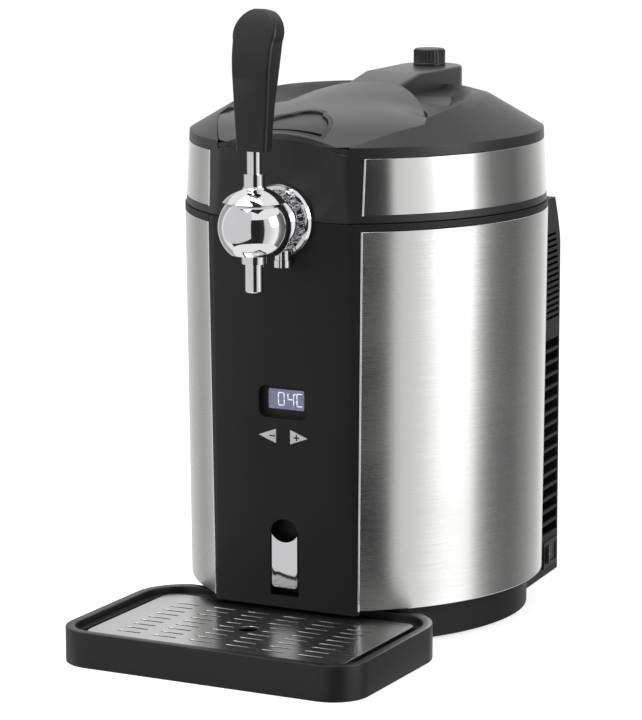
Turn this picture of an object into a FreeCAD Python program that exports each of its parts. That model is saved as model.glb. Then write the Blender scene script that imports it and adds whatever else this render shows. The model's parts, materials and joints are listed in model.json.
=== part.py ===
"""Mini keg beer dispenser: a cooled tower for a five-litre party keg.

Frame while modelling: the keg stands on the Z axis, the tap points along -Y, +X is on the right
of someone facing the tap, and the floor is z = 0. Every piece is moved by FRAME_SHIFT along Y when
it is written, so that the origin lies at the middle of the footprint. All sizes are millimetres.
"""
import FreeCAD, Part
import math
import os

V = FreeCAD.Vector

# ---------------------------------------------------------------------------------------------
# Driving dimensions
# ---------------------------------------------------------------------------------------------
# Body and its levels
BODY_HALF_WIDTH = 135.0       # at the top of the body
BODY_TAPER = 2.4              # how much the half width shrinks down to the wrap's lower edge
FRONT_ARC_EXTRA = 30.5        # the two front arcs are this much larger than the rear one
FACE_Y_TOP = -141.7           # flat front face, at the seam
FACE_Y_BOTTOM = -138.5        # flat front face, at its lower edge
FOOT_TOP = 28.0
PANEL_BOTTOM = 25.4
WRAP_BOTTOM = 28.8
WRAP_TOP = 307.7
SEAM = 313.2                  # joint between the body and the lid
SEAM_GAP = 0.6
PANEL_EDGE_TOP = 62.5         # half width of the front panel up to the steel, at the seam
PANEL_EDGE_BOTTOM = 59.1
SHEET = 1.2                   # stainless wrap
WALL = 3.0                    # moulded ABS walls
SNUG = 0.2                    # gap between neighbours of one body
CLEAR = 0.4                   # gap between pieces of different bodies
RUNNING = 0.05                # radial clearance of a running fit

# Keg well
WELL_RADIUS = 88.0
WELL_FLOOR = 46.0
LINER_WALL = 1.5
PAD_THICKNESS = 2.0

# Foot
FOOT_HALF_WIDTH = BODY_HALF_WIDTH - 13.7
FOOT_FRONT_Y = -110.0
PAD_RADIUS = 9.0
FLOOR_TOP = 31.0              # top of the floor plate that joins the foot to the body
FOOT_LIFT = 1.8               # the rubber feet hold the base this far off the floor

# Drip tray
TRAY_HALF_WIDTH = 120.5
TRAY_FRONT_Y = -269.1
TRAY_BACK_Y = FOOT_FRONT_Y - CLEAR
TRAY_HEIGHT = 26.1
TRAY_CORNER = 27.0
TRAY_WALL = 3.0
TRAY_RIM = 7.0
GRID_TOP = 22.5
GRID_THICKNESS = 2.0
GRID_HALF_WIDTH = 103.0
GRID_BACK_Y = -129.0
GRID_FRONT_CORNER = 18.0
GRID_CORNER = 8.0
SLOT_PITCH_X = 29.3
SLOT_PITCH_Y = 10.8
SLOT_LENGTH = 18.0
SLOT_WIDTH = 2.2
SLOT_COLUMNS = 6
SLOT_ROWS = 9
FINGER_HOLE_RADIUS = 7.4

# Rear housing
COVER_REAR_Y = BODY_HALF_WIDTH + 25.5
COVER_HALF_WIDTH_FRONT = 98.0
COVER_HALF_WIDTH_REAR = 90.5
COVER_START_Y = BODY_HALF_WIDTH - 63.0
COVER_MARGIN = 7.0            # between the slots and the corner of the housing
SIDE_SLOTS_Y = BODY_HALF_WIDTH - 29.0
BACK_SLOT_X = 34.0
BACK_SLOT_HALF = 29.0
COVER_BOTTOM = 1.0
COVER_ROOF_START = 222.0      # height at which the roof starts to curve forward
COVER_ROOF_RADIUS = 170.0
COVER_ROOF_TURN = 28.0        # degrees that the roof's arc turns through
COVER_TOP = 302.0
COVER_WALL = 2.6
COVER_CORNER = 8.0
LOUVRE_PITCH = 9.9
LOUVRE_OPENING = 7.3
LOUVRE_COUNT = 16
LOUVRE_FIRST_Z = 34.0
VENT_PITCH = 4.7
VENT_OPENING = 2.3
VENT_COUNT = 15
VENT_FIRST_Z = 206.0

# Tap
TAP_Y = -181.4
BALL_RADIUS = 26.2
BALL_FLAT = 19.3              # half height between the ball's two flats
FLANGE_RADIUS = 26.5
SHANK_RADIUS = 10.5
PLUNGER_RADIUS = 3.5
PLUNGER_DROP = 5.0            # plunger axis below the lever's pivot
PLUNGER_FLAT = 0.8            # the plunger is cut flat this far above its axis
PIVOT_RADIUS = 2.5
LEVER_RADIUS = 5.2
TANG_RADIUS = 3.5             # the lever's thinner end inside the handle
TANG_LENGTH = 24.0
CAP_THICKNESS = 2.2
CAP_LOW = 17.9                # lower edge of the cap above the ball's centre
SLEEVE_RADIUS = 7.5
HANDLE_BOTTOM = 367.3
HANDLE_TOP = 467.2
HANDLE_HALF_WIDTHS = (12.0, 14.3, 16.3)  # at its foot, at its waist and at its brow
HANDLE_FRONT = 5.9            # front of the handle before the lever's axis
HANDLE_DEPTH = 10.9
HANDLE_ROUNDING = 2.8
NECK_FILLET = 3.0
SPOUT_RADIUS = 6.5
SPOUT_BOTTOM = 266.8

# Lid
LID_HALF_WIDTH_BOTTOM = BODY_HALF_WIDTH - 1.0
LID_HALF_WIDTH_TOP = LID_HALF_WIDTH_BOTTOM - 2.7
LID_BAND_BOTTOM = 318.9
LID_BAND_TOP = 359.6
LID_RIM_TOP = 367.3
BAND_SHEET = 0.8
DOME_SLOPE = 0.589            # rise over run of the dome's side
DOME_FLAT_Z = 393.7
SHOULDER_RADIUS = 92.0        # where the dome's side turns into its gentler shoulder
SHOULDER_SLOPE = 0.28
HOOD_THICKNESS = 4.0
# Crown of the hood: depth, height of its ridge and radius of its section there
HOOD_SECTIONS = ((-150.0, 372.4, 124.0), (-130.0, 379.6, 160.0), (-116.0, 383.0, 225.0),
                 (-95.0, 386.2, 360.0), (-75.0, 388.6, 430.0), (-55.0, 391.3, 300.0),
                 (-35.0, 394.7, 165.0), (-10.0, 398.3, 150.0), (11.0, 400.4, 125.0), (25.0, 401.6, 120.0))
HOOD_REAR_Y = 5.0             # rear edge of the hood beside the spine
CHANNEL_TOP = 390.2           # floor of the finger channels beside the spine
CHANNEL_FALL = 0.167          # how the channels fall outwards, rise over run
CHANNEL_DRAFT = 20.0
SPINE_TOP_Z = 404.2
SPINE_RAMP_Y = 40.4           # where the ramp from the hood reaches the spine's flat top
SPINE_RAMP_SLOPE = 0.19
SPINE_FRONT_HALF_WIDTH = 22.4
SPINE_EDGE = 2.4
SPINE_REAR_RADIUS = 25.5
KNOB_Y = 104.6
KNOB_RADIUS = 12.0
KNOB_HEIGHT = 12.4
KNOB_RIBS = 30
HINGE_Y = BODY_HALF_WIDTH + 7.0
HINGE_Z = 317.0
HINGE_PIN_RADIUS = 2.5
HINGE_PLATE_DROP = 16.7       # the bracket reaches this far below the wrap's upper edge
HINGE_LEAF_HEIGHT = 24.0

# Front controls
DISPLAY_Z = 179.0
DISPLAY_HALF_WIDTH = 20.0
DISPLAY_HALF_HEIGHT = 12.0
DISPLAY_CORNER = 6.0
DISPLAY_DEPTH = 5.0
WINDOW_Z = 180.5
WINDOW_HALF_WIDTH = 14.8
WINDOW_HALF_HEIGHT = 7.6
BUTTON_Z = 154.0
BUTTON_TIP = 20.0
BUTTON_BASE = 6.0
BUTTON_HALF_HEIGHT = 5.2
BUTTON_TRAVEL = 1.0
DRAIN_HALF_WIDTH = 11.6
DRAIN_BOTTOM = 34.0
DRAIN_TOP = 91.9
FLAP_HALF_WIDTH = 10.5
FLAP_BOTTOM = 40.3
FLAP_TOP = 80.2
FLAP_NOTCH = 5.6
FLAP_THICKNESS = 2.0
FLAP_PIN_RADIUS = 1.5

# Cooling
FIN_COUNT = 11
FAN_SIZE = 92.0
FAN_DEPTH = 15.0
FAN_BLADES = 7

# Smaller fittings
DRAIN_DEPTH = 12.0
DRAIN_TUBE_RADIUS = 4.0
DRAIN_TUBE_Z = 62.0
FOAM_FRONT_Y = -112.0
BAY_HALF_WIDTH = 70.0
COLD_BACK_Y = BODY_HALF_WIDTH - 23.0
COLD_LENGTH = 52.0
COLD_HALF = 20.0
COLD_Z = 190.0
BRACKET_HALF_WIDTH = 22.0
BRACKET_Y = -137.0
BRACKET_THICKNESS = 3.0
SWITCH_Y = BODY_HALF_WIDTH
SWITCH_Z = 17.5
SWITCH_HALF_Y = 15.0
SWITCH_HALF_Z = 9.0
INLET_X = -45.0
INLET_Z = 22.0
INLET_HALF_X = 14.0
INLET_HALF_Z = 10.0
ROCKER_X = -4.0
ROCKER_TILT = 8.0
ROCKER_PIN_RADIUS = 1.2
MODULE_THICKNESS = 4.0
CONVERTER_HALF = 40.0
CONVERTER_HEIGHT = 68.0
SINK_BASE = 5.0
FIN_DEPTH = 18.0
FIN_THICKNESS = 1.6
SCREW_X = 5.0
SCREW_HEAD = 5.0
SCREW_TOP = 291.5
NECK_START = 21.6             # where the shank leaves the ball
PLUNGER_END = 34.0
SPOUT_BORE = 4.0
COLLAR_HEIGHT = 6.6
COLLAR_RADIUS = 8.9
COUPLING_RIBS = 24
COUPLING_RADIUS = 20.4
RIB_RADIUS = 1.3
FINGER_RADIUS = 1.8
CAP_TOP = 38.0
TRAY_WAIST_Y = -146.0
TRAY_BACK_HALF_WIDTH = 95.0
TRAY_SHOULDER_IN = 6.5
TRAY_SHOULDER_BACK = 20.0
TRAY_TROUGH = 3.0             # the pan starts this far inside the rim
TRAY_BACK_TOP = 24.6          # rim height where the tray slides under the front panel
RAIL_WIDTH = 3.0
GRID_GAP = 1.0
GRID_REST = 0.3
SLOT_FRONT_Y = -239.0
FINGER_HOLE_Y = -194.4
HOOD_TIP_X = LID_HALF_WIDTH_TOP - 46.8
HOOD_TIP_Y = -79.5
CHANNEL_BACK_Y = 86.0
LATCH_HALF_WIDTH = 32.4
LATCH_FRONT_Y = -139.4
LATCH_BACK_Y = -86.0
LATCH_LIP_Y = -130.0          # front edge of the button, behind the finger gap
LATCH_BEZEL = 3.2
LATCH_SINK = 2.0              # the button lies this far below the hood
LATCH_FLOOR_Z = 362.0
LATCH_TRAVEL = 2.5
LID_BAND_REAR_X = 45.0
KNOB_STEM_RADIUS = 3.5
KNOB_RIB = 0.6
LATCH_STEM_Y = -112.0
LATCH_WALL = 2.2
LATCH_GUIDE_RADIUS = 4.5
LATCH_GUIDE_HEIGHT = 4.0
LATCH_STEM_RADIUS = 2.5
LATCH_SPRING_LENGTH = 7.0
LATCH_LEAF = 0.5
LATCH_LEAF_WIDTH = 5.0
LID_MOUTH_RADIUS = 70.0
POST_TOP = 376.0
CARTRIDGE_Y = 76.0
CARTRIDGE_RADIUS = 11.0
CARTRIDGE_NECK = 3.6
CARTRIDGE_SEAT = 8.0
REGULATOR_NECK = 8.0
HINGE_OUTER = 34.0
HINGE_INNER = 16.0
HINGE_KNUCKLE = 5.5

FRAME_SHIFT = -(TRAY_FRONT_Y + COVER_REAR_Y) / 2.0

PIECES = {}


# ---------------------------------------------------------------------------------------------
# Helpers
# ---------------------------------------------------------------------------------------------
def keep(name, shape):
    """Store a finished piece under its node name."""
    PIECES[name] = shape.removeSplitter()


def block(x0, x1, y0, y1, z0, z1):
    """Box between two corners."""
    return Part.makeBox(x1 - x0, y1 - y0, z1 - z0, V(x0, y0, z0))


def rod(radius, start, end):
    """Round rod between two points."""
    axis = end.sub(start)
    return Part.makeCylinder(radius, axis.Length, start, axis)


def arc(a, b, c):
    """Arc edge through three points."""
    return Part.Arc(a, b, c).toShape()


def line(a, b):
    """Straight edge."""
    return Part.LineSegment(a, b).toShape()


def extrude(edges, direction):
    """Solid from a closed loop of edges."""
    return Part.Face(Part.Wire(edges)).extrude(direction)


def polygon(points, direction):
    """Solid from a closed polygon."""
    return Part.Face(Part.makePolygon(points + [points[0]])).extrude(direction)


def turned(points, centre, axis):
    """Body of revolution from (radius, height) points about an axis through centre."""
    if axis == "Z":
        profile = [V(centre.x + r, centre.y, centre.z + h) for r, h in points]
        direction = V(0, 0, 1)
    else:
        profile = [V(centre.x + r, centre.y + h, centre.z) for r, h in points]
        direction = V(0, 1, 0)
    face = Part.Face(Part.makePolygon(profile + [profile[0]]))
    return face.revolve(centre, direction, 360)


def join(shapes):
    """Fuse a list of overlapping or touching shapes."""
    if len(shapes) == 1:
        return shapes[0]
    return shapes[0].multiFuse(shapes[1:])


def oval(radius, z, front_y=None):
    """Outline of the tower at height z: a half circle behind, two larger arcs and a flat in front."""
    extra = FRONT_ARC_EXTRA
    big = radius + extra
    deepest = math.sqrt(big * big - extra * extra)
    y = -deepest if front_y is None else front_y
    end = math.asin(-y / big)
    half = end / 2.0
    x_end = big * math.cos(end) - extra
    edges = [arc(V(radius, 0, z), V(0, radius, z), V(-radius, 0, z))]
    left_mid = V(extra - big * math.cos(half), -big * math.sin(half), z)
    edges.append(arc(V(-radius, 0, z), left_mid, V(-x_end, y, z)))
    if front_y is not None:
        edges.append(line(V(-x_end, y, z), V(x_end, y, z)))
    right_mid = V(-left_mid.x, left_mid.y, z)
    edges.append(arc(V(x_end, y, z), right_mid, V(radius, 0, z)))
    return Part.Wire(edges)


def loft(lower, upper):
    """Ruled solid between two outlines."""
    return Part.makeLoft([lower, upper], True, True)


def body_radius(z):
    """Half width of the body at height z."""
    return BODY_HALF_WIDTH - BODY_TAPER * (WRAP_TOP - z) / (WRAP_TOP - WRAP_BOTTOM)


def face_y(z):
    """Front face of the body at height z."""
    share = (SEAM - z) / (SEAM - PANEL_BOTTOM)
    return FACE_Y_TOP + (FACE_Y_BOTTOM - FACE_Y_TOP) * share


def body_core(z0, z1, inset):
    """Solid of the body between two heights, set in from its outside."""
    return loft(oval(body_radius(z0) - inset, z0, face_y(z0) + inset),
                oval(body_radius(z1) - inset, z1, face_y(z1) + inset))


def lid_radius(z):
    """Half width of the lid's upright wall at height z."""
    share = (z - SEAM) / (LID_RIM_TOP - SEAM)
    return LID_HALF_WIDTH_BOTTOM + (LID_HALF_WIDTH_TOP - LID_HALF_WIDTH_BOTTOM) * share


def lid_core(z0, z1, inset):
    """Solid of the lid's upright part between two heights, set in from its outside."""
    return loft(oval(lid_radius(z0) - inset, z0, FACE_Y_TOP + inset),
                oval(lid_radius(z1) - inset, z1, FACE_Y_TOP + inset))


def panel_edge(z):
    """Half width of the black front panel at height z."""
    share = (z - PANEL_BOTTOM) / (SEAM - PANEL_BOTTOM)
    return PANEL_EDGE_BOTTOM + (PANEL_EDGE_TOP - PANEL_EDGE_BOTTOM) * share


def front_wedge(z0, z1, grow):
    """Block in front of the keg that holds everything between the two panel edges."""
    depth = V(0, -BODY_HALF_WIDTH * 2, 0)
    points = [V(-panel_edge(z0) - grow, -20, z0), V(panel_edge(z0) + grow, -20, z0),
              V(panel_edge(z1) + grow, -20, z1), V(-panel_edge(z1) - grow, -20, z1)]
    return polygon(points, depth)


def half_space(side):
    """Large block on one side of the middle plane: 1 is right, -1 is left."""
    big = 400.0
    low = 0.0 if side > 0 else -big
    return block(low, low + big, -big, big, -big, 2 * big)


# ---------------------------------------------------------------------------------------------
# Foot and body
# ---------------------------------------------------------------------------------------------
def foot_solid(inset, z0, z1):
    """Oval foot with its front cut off square for the tray."""
    outline = oval(FOOT_HALF_WIDTH - inset, z0, FOOT_FRONT_Y + inset)
    return Part.Face(outline).extrude(V(0, 0, z1 - z0))


def pad_places():
    """Places of the four rubber feet."""
    return [V(x, y, 0) for x in (-70.0, 70.0) for y in (-72.0, 76.0)]


def behind_skin(z0, z1):
    """Solid that fills the body behind the steel wrap and the front panel."""
    side = body_core(z0, z1, SHEET + SNUG)
    front = side.cut(body_core(z0 - 1, z1 + 1, WALL + SNUG)).common(front_wedge(z0, z1, SNUG))
    return side.cut(front)


def build_foot():
    """Foot moulding with the body's floor, and the rubber feet under it."""
    foot = foot_solid(0, FOOT_LIFT, FOOT_TOP)
    foot = foot.fuse(behind_skin(FOOT_TOP, FLOOR_TOP))
    foot = foot.cut(foot_solid(WALL, FOOT_LIFT - 1, FOOT_TOP - WALL))
    socket_top = FOOT_LIFT + 6.0
    pads = []
    for place in pad_places():
        boss = Part.makeCylinder(PAD_RADIUS + WALL, FOOT_TOP - WALL - FOOT_LIFT, place + V(0, 0, FOOT_LIFT))
        hole = Part.makeCylinder(PAD_RADIUS + SNUG, socket_top, place)
        foot = foot.fuse(boss).cut(hole)
        pad = Part.makeCylinder(PAD_RADIUS, socket_top - SNUG, place)
        pads.append(pad)
    keep("base_foot", foot)
    keep("rubber_feet", Part.makeCompound(pads))


def rear_opening(grow):
    """Space behind the keg that the cooling unit fills."""
    half = COVER_HALF_WIDTH_REAR - 6.0 + grow
    return block(-half, half, 40.0, COVER_REAR_Y + 20, WRAP_BOTTOM - 5, WRAP_TOP + 1)


def build_wrap():
    """Two stainless sheets round the sides, folded in at their front edges."""
    ring = body_core(WRAP_BOTTOM, WRAP_TOP, 0)
    ring = ring.cut(body_core(WRAP_BOTTOM, WRAP_TOP, SHEET))
    ring = ring.cut(front_wedge(WRAP_BOTTOM - 5, WRAP_TOP + 5, SNUG / 2))
    ring = ring.cut(rear_opening(0))
    keep("steel_wrap_right", ring.common(half_space(1)))
    keep("steel_wrap_left", ring.common(half_space(-1)))


def tap_notch(radius, z_low, z_high):
    """Round hole for the tap's shank across the front wall, open towards the other half."""
    return rod(radius, V(0, FACE_Y_TOP - 5, SEAM), V(0, FACE_Y_TOP + 60, SEAM)).common(
        block(-radius, radius, FACE_Y_TOP - 10, 0, z_low, z_high))


def rounded_plate(half_x, half_z, centre_z, corner, y0, y1):
    """Rounded rectangle in the XZ plane, extruded along Y."""
    plate = block(-half_x, half_x, y0, y1, centre_z - half_z, centre_z + half_z)
    upright = [e for e in plate.Edges if abs(e.Vertexes[0].Y - e.Vertexes[-1].Y) > 1e-6]
    return plate.makeFillet(corner, upright)


def button_outline(side, grow, y0, depth):
    """Triangle of one button, pointing outwards."""
    lean = (BUTTON_TIP - BUTTON_BASE) / BUTTON_HALF_HEIGHT
    tip = side * (BUTTON_TIP + grow * 2.4)
    base = side * (BUTTON_BASE - grow)
    high = BUTTON_HALF_HEIGHT + grow * (1.0 + 2.0 / lean)
    points = [V(tip, y0, BUTTON_Z), V(base, y0, BUTTON_Z + high), V(base, y0, BUTTON_Z - high)]
    return polygon(points, V(0, depth, 0))


def drain_outline(half, low, high, y0, depth):
    """Slot with a half-round top."""
    centre = high - half
    edges = [line(V(-half, y0, low), V(half, y0, low)), line(V(half, y0, low), V(half, y0, centre)),
             arc(V(half, y0, centre), V(0, y0, high), V(-half, y0, centre)),
             line(V(-half, y0, centre), V(-half, y0, low))]
    return extrude(edges, V(0, depth, 0))


def build_front_panel():
    """Black front moulding with the display tub, button holes, drain recess and tap notch."""
    top = SEAM - SEAM_GAP / 2
    panel = body_core(PANEL_BOTTOM, top, 0).cut(body_core(PANEL_BOTTOM - 1, top + 1, WALL))
    panel = panel.common(front_wedge(PANEL_BOTTOM, top, 0))
    face = face_y(DISPLAY_Z)
    tub_back = face + DISPLAY_DEPTH + WALL / 2
    tub = rounded_plate(DISPLAY_HALF_WIDTH + WALL, DISPLAY_HALF_HEIGHT + WALL, DISPLAY_Z,
                        DISPLAY_CORNER + WALL, face + WALL / 2, tub_back)
    recess = rounded_plate(DISPLAY_HALF_WIDTH, DISPLAY_HALF_HEIGHT, DISPLAY_Z, DISPLAY_CORNER,
                           face - 5, face + DISPLAY_DEPTH)
    window = rounded_plate(WINDOW_HALF_WIDTH, WINDOW_HALF_HEIGHT, WINDOW_Z, 1.2, face - 5, tub_back + 5)
    panel = panel.fuse(tub).cut(recess).cut(window)
    for side in (-1, 1):
        panel = panel.cut(button_outline(side, CLEAR, face - 5, 20))
    low_face = face_y(DRAIN_BOTTOM)
    box_back = low_face + DRAIN_DEPTH + WALL
    drain_box = drain_outline(DRAIN_HALF_WIDTH + WALL, DRAIN_BOTTOM - WALL, DRAIN_TOP + WALL,
                              low_face + WALL / 2, box_back - low_face - WALL / 2)
    drain_hole = drain_outline(DRAIN_HALF_WIDTH, DRAIN_BOTTOM, DRAIN_TOP, low_face - 8, 8 + DRAIN_DEPTH)
    outlet = rod(DRAIN_TUBE_RADIUS + RUNNING, V(0, low_face, DRAIN_TUBE_Z), V(0, box_back + 1, DRAIN_TUBE_Z))
    pin_hole = rod(FLAP_PIN_RADIUS, V(-DRAIN_HALF_WIDTH - 2, flap_pin_y(), flap_pin_z()),
                   V(DRAIN_HALF_WIDTH + 2, flap_pin_y(), flap_pin_z()))
    panel = panel.fuse(drain_box).cut(drain_hole).cut(outlet).cut(pin_hole)
    panel = panel.cut(tap_notch(SHANK_RADIUS + RUNNING * 4, SEAM - 40, SEAM))
    keep("front_panel", panel)


def flap_pin_y():
    """Hinge line of the drain flap, behind its plate."""
    return face_y(DRAIN_BOTTOM) + FLAP_THICKNESS + FLAP_PIN_RADIUS + 1.5


def flap_pin_z():
    """Height of the drain flap's hinge line."""
    return FLAP_BOTTOM + 5.0


def build_drain():
    """Chrome flap over the condensate outlet, its pin and the tube from the well."""
    face = face_y(FLAP_BOTTOM)
    plate = block(-FLAP_HALF_WIDTH, FLAP_HALF_WIDTH, face - 0.4, face - 0.4 + FLAP_THICKNESS,
                  FLAP_BOTTOM, FLAP_TOP)
    lower = [e for e in plate.Edges if abs(e.Vertexes[0].Y - e.Vertexes[-1].Y) > 1e-6
             and e.Vertexes[0].Z < FLAP_BOTTOM + 1]
    plate = plate.makeFillet(3.0, lower)
    notch_radius = (FLAP_HALF_WIDTH ** 2 + FLAP_NOTCH ** 2) / (2 * FLAP_NOTCH)
    notch = rod(notch_radius, V(0, face - 5, FLAP_TOP - FLAP_NOTCH + notch_radius),
                V(0, face + 5, FLAP_TOP - FLAP_NOTCH + notch_radius))
    plate = plate.cut(notch)
    y, z = flap_pin_y(), flap_pin_z()
    ears = []
    for x in (-FLAP_HALF_WIDTH + 1.0, FLAP_HALF_WIDTH - 4.0):
        ear = rod(FLAP_PIN_RADIUS + 1.6, V(x, y, z), V(x + 3.0, y, z))
        web = block(x, x + 3.0, face + FLAP_THICKNESS - 0.5, y, z - 2.0, z + 2.0)
        ears.append(ear.fuse(web))
    bore = rod(FLAP_PIN_RADIUS + RUNNING, V(-DRAIN_HALF_WIDTH, y, z), V(DRAIN_HALF_WIDTH, y, z))
    keep("drain_flap", join([plate] + ears).cut(bore))
    end = DRAIN_HALF_WIDTH + 1.9
    keep("drain_hinge_pin", rod(FLAP_PIN_RADIUS, V(-end, y, z), V(end, y, z)))
    start = V(0, -WELL_RADIUS - LINER_WALL - SNUG, DRAIN_TUBE_Z)
    stop = V(0, face_y(DRAIN_BOTTOM) + DRAIN_DEPTH, DRAIN_TUBE_Z)
    tube = rod(DRAIN_TUBE_RADIUS, start, stop).cut(rod(DRAIN_TUBE_RADIUS - 1, start, stop))
    keep("drain_tube", tube)


def build_well():
    """Aluminium keg well, its rubber pad and the foam jacket round it."""
    top = WRAP_TOP - 3.0
    outer = WELL_RADIUS + LINER_WALL
    liner = Part.makeCylinder(outer, top - WELL_FLOOR + LINER_WALL, V(0, 0, WELL_FLOOR - LINER_WALL))
    flange = Part.makeCylinder(outer + 5.0, LINER_WALL, V(0, 0, top - LINER_WALL))
    liner = liner.fuse(flange).cut(Part.makeCylinder(WELL_RADIUS, top, V(0, 0, WELL_FLOOR)))
    keep("keg_well", liner)
    pad = Part.makeCylinder(WELL_RADIUS - 10, PAD_THICKNESS, V(0, 0, WELL_FLOOR))
    pad = pad.cut(Part.makeCylinder(WELL_RADIUS - 34, PAD_THICKNESS, V(0, 0, WELL_FLOOR)))
    keep("keg_pad", pad)
    low = FLOOR_TOP + SNUG
    high = top - LINER_WALL - SNUG
    foam = body_core(low, high, SHEET + SNUG)
    wide = 2 * BODY_HALF_WIDTH
    foam = foam.cut(block(-wide, wide, -wide, FOAM_FRONT_Y, 0, SEAM))
    well = Part.makeCylinder(outer + SNUG, SEAM, V(0, 0, WELL_FLOOR - LINER_WALL - SNUG))
    bay = block(-BAY_HALF_WIDTH, BAY_HALF_WIDTH, COLD_BACK_Y - 4, wide, low - 5, high + 1)
    foam = foam.cut(well).cut(bay)
    gap = COLD_HALF + SNUG
    foam = foam.cut(block(-gap, gap, COLD_BACK_Y - COLD_LENGTH, wide, COLD_Z - gap, COLD_Z + gap))
    tube_end = V(0, -WELL_RADIUS + 20, DRAIN_TUBE_Z)
    foam = foam.cut(rod(DRAIN_TUBE_RADIUS + SNUG, V(0, -wide, DRAIN_TUBE_Z), tube_end))
    keep("insulation_jacket", foam)


def build_body_ring():
    """Black rim round the mouth of the body, which holds the well's flange."""
    top = SEAM - SEAM_GAP / 2
    rim = body_core(WRAP_TOP + SNUG, top, 0)
    skirt = body_core(WRAP_TOP - 3.0 + SNUG, WRAP_TOP + SNUG, SHEET + SNUG)
    ring = rim.fuse(skirt)
    front = rim.fuse(skirt).cut(body_core(WRAP_TOP - 8, top + 5, WALL + SNUG))
    ring = ring.cut(front.common(front_wedge(WRAP_TOP - 8, top + 5, SNUG)))
    ring = ring.cut(Part.makeCylinder(WELL_RADIUS, 60, V(0, 0, WRAP_TOP - 20)))
    half = BRACKET_HALF_WIDTH + CLEAR
    wide = 2 * BODY_HALF_WIDTH
    ring = ring.cut(block(-half, half, -wide, -WELL_RADIUS + 8, WRAP_TOP - 40, SEAM + 40))
    keep("body_top_ring", ring)


# ---------------------------------------------------------------------------------------------
# Rear housing and cooling unit
# ---------------------------------------------------------------------------------------------
def cover_plan(inset):
    """Plan of the rear housing: sides that close in towards the back."""
    half0 = COVER_HALF_WIDTH_FRONT - inset
    half1 = COVER_HALF_WIDTH_REAR - inset
    back = COVER_REAR_Y - inset
    points = [V(-half0, COVER_START_Y, COVER_BOTTOM), V(half0, COVER_START_Y, COVER_BOTTOM),
              V(half1, back, COVER_BOTTOM), V(-half1, back, COVER_BOTTOM)]
    solid = polygon(points, V(0, 0, COVER_TOP - COVER_BOTTOM - inset))
    corners = [e for e in solid.Edges if abs(e.Vertexes[0].Z - e.Vertexes[-1].Z) > 10
               and e.Vertexes[0].Y > back - 1]
    return solid.makeFillet(COVER_CORNER - inset / 2, corners)


def cover_roof(inset):
    """Side profile of the housing, whose roof curves forward to the body."""
    back = COVER_REAR_Y - inset
    radius = COVER_ROOF_RADIUS - inset
    centre_y = back - radius
    half_angle = math.radians(COVER_ROOF_TURN / 2)
    end_angle = math.radians(COVER_ROOF_TURN)
    mid = V(0, centre_y + radius * math.cos(half_angle), COVER_ROOF_START + radius * math.sin(half_angle))
    end = V(0, centre_y + radius * math.cos(end_angle), COVER_ROOF_START + radius * math.sin(end_angle))
    start = V(0, back, COVER_ROOF_START)
    front = COVER_START_Y - WALL
    brow = V(0, front, end.z)
    edges = [line(V(0, back, -WALL), start), arc(start, mid, end), line(end, brow),
             line(brow, V(0, front, -WALL)), line(V(0, front, -WALL), V(0, back, -WALL))]
    width = 2 * BODY_HALF_WIDTH
    return extrude(edges, V(2 * width, 0, 0)).translated(V(-width, 0, 0))


def build_rear_cover():
    """Black housing over the cooling unit, with louvres and fine vents in its sides and back."""
    cover = cover_plan(0).common(cover_roof(0))
    inside = cover_plan(COVER_WALL).common(cover_roof(COVER_WALL))
    wide = 2 * BODY_HALF_WIDTH
    cover = cover.cut(inside.cut(block(-wide, wide, 0, wide, -WALL, COVER_BOTTOM + COVER_WALL)))
    cover = cover.cut(body_core(FOOT_TOP - SNUG, COVER_TOP + 10, -SNUG))
    cover = cover.cut(foot_solid(-SNUG, -5, FOOT_TOP))
    cutters = []
    y0 = SIDE_SLOTS_Y
    y1 = COVER_REAR_Y - COVER_MARGIN - 2.0
    reach = COVER_HALF_WIDTH_FRONT + 10
    for index in range(LOUVRE_COUNT):
        z = LOUVRE_FIRST_Z + index * LOUVRE_PITCH
        cutters.append(block(-reach, reach, y0, y1, z, z + LOUVRE_OPENING))
        for x in (-BACK_SLOT_X, BACK_SLOT_X):
            cutters.append(block(x - BACK_SLOT_HALF, x + BACK_SLOT_HALF, COVER_REAR_Y - 5, COVER_REAR_Y + 5,
                                 z, z + LOUVRE_OPENING))
    vents = []
    for index in range(VENT_COUNT):
        z = VENT_FIRST_Z + index * VENT_PITCH
        vents.append(block(-reach, reach, y0, y1, z, z + VENT_OPENING))
    margin = cover_roof(COVER_MARGIN + 2.0)
    cover = cover.cut(Part.makeCompound(cutters))
    cover = cover.cut(Part.makeCompound(vents).common(margin))
    cover = cover.cut(switch_block(SNUG, 20)).cut(inlet_block(SNUG, 20))
    keep("rear_cover", cover)


def side_wall_x(y):
    """Outside of the housing's right side at depth y."""
    share = (y - COVER_START_Y) / (COVER_REAR_Y - COVER_START_Y)
    return COVER_HALF_WIDTH_FRONT + (COVER_HALF_WIDTH_REAR - COVER_HALF_WIDTH_FRONT) * share


def lean_angle():
    """Angle in plan between the housing's side and the Y axis, in degrees."""
    run = COVER_REAR_Y - COVER_START_Y
    return math.degrees(math.atan2(COVER_HALF_WIDTH_FRONT - COVER_HALF_WIDTH_REAR, run))


def on_side(shape):
    """Turn a shape made against the plane x = 0 at y = 0 onto the housing's right side."""
    shape = shape.copy()
    shape.rotate(V(0, 0, 0), V(0, 0, 1), lean_angle())
    return shape.translated(V(side_wall_x(SWITCH_Y), SWITCH_Y, SWITCH_Z))


def switch_block(grow, depth):
    """Space of the rocker switch's body in the side wall."""
    return on_side(block(-depth, 5, -SWITCH_HALF_Y - grow, SWITCH_HALF_Y + grow,
                         -SWITCH_HALF_Z - grow, SWITCH_HALF_Z + grow))


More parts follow.
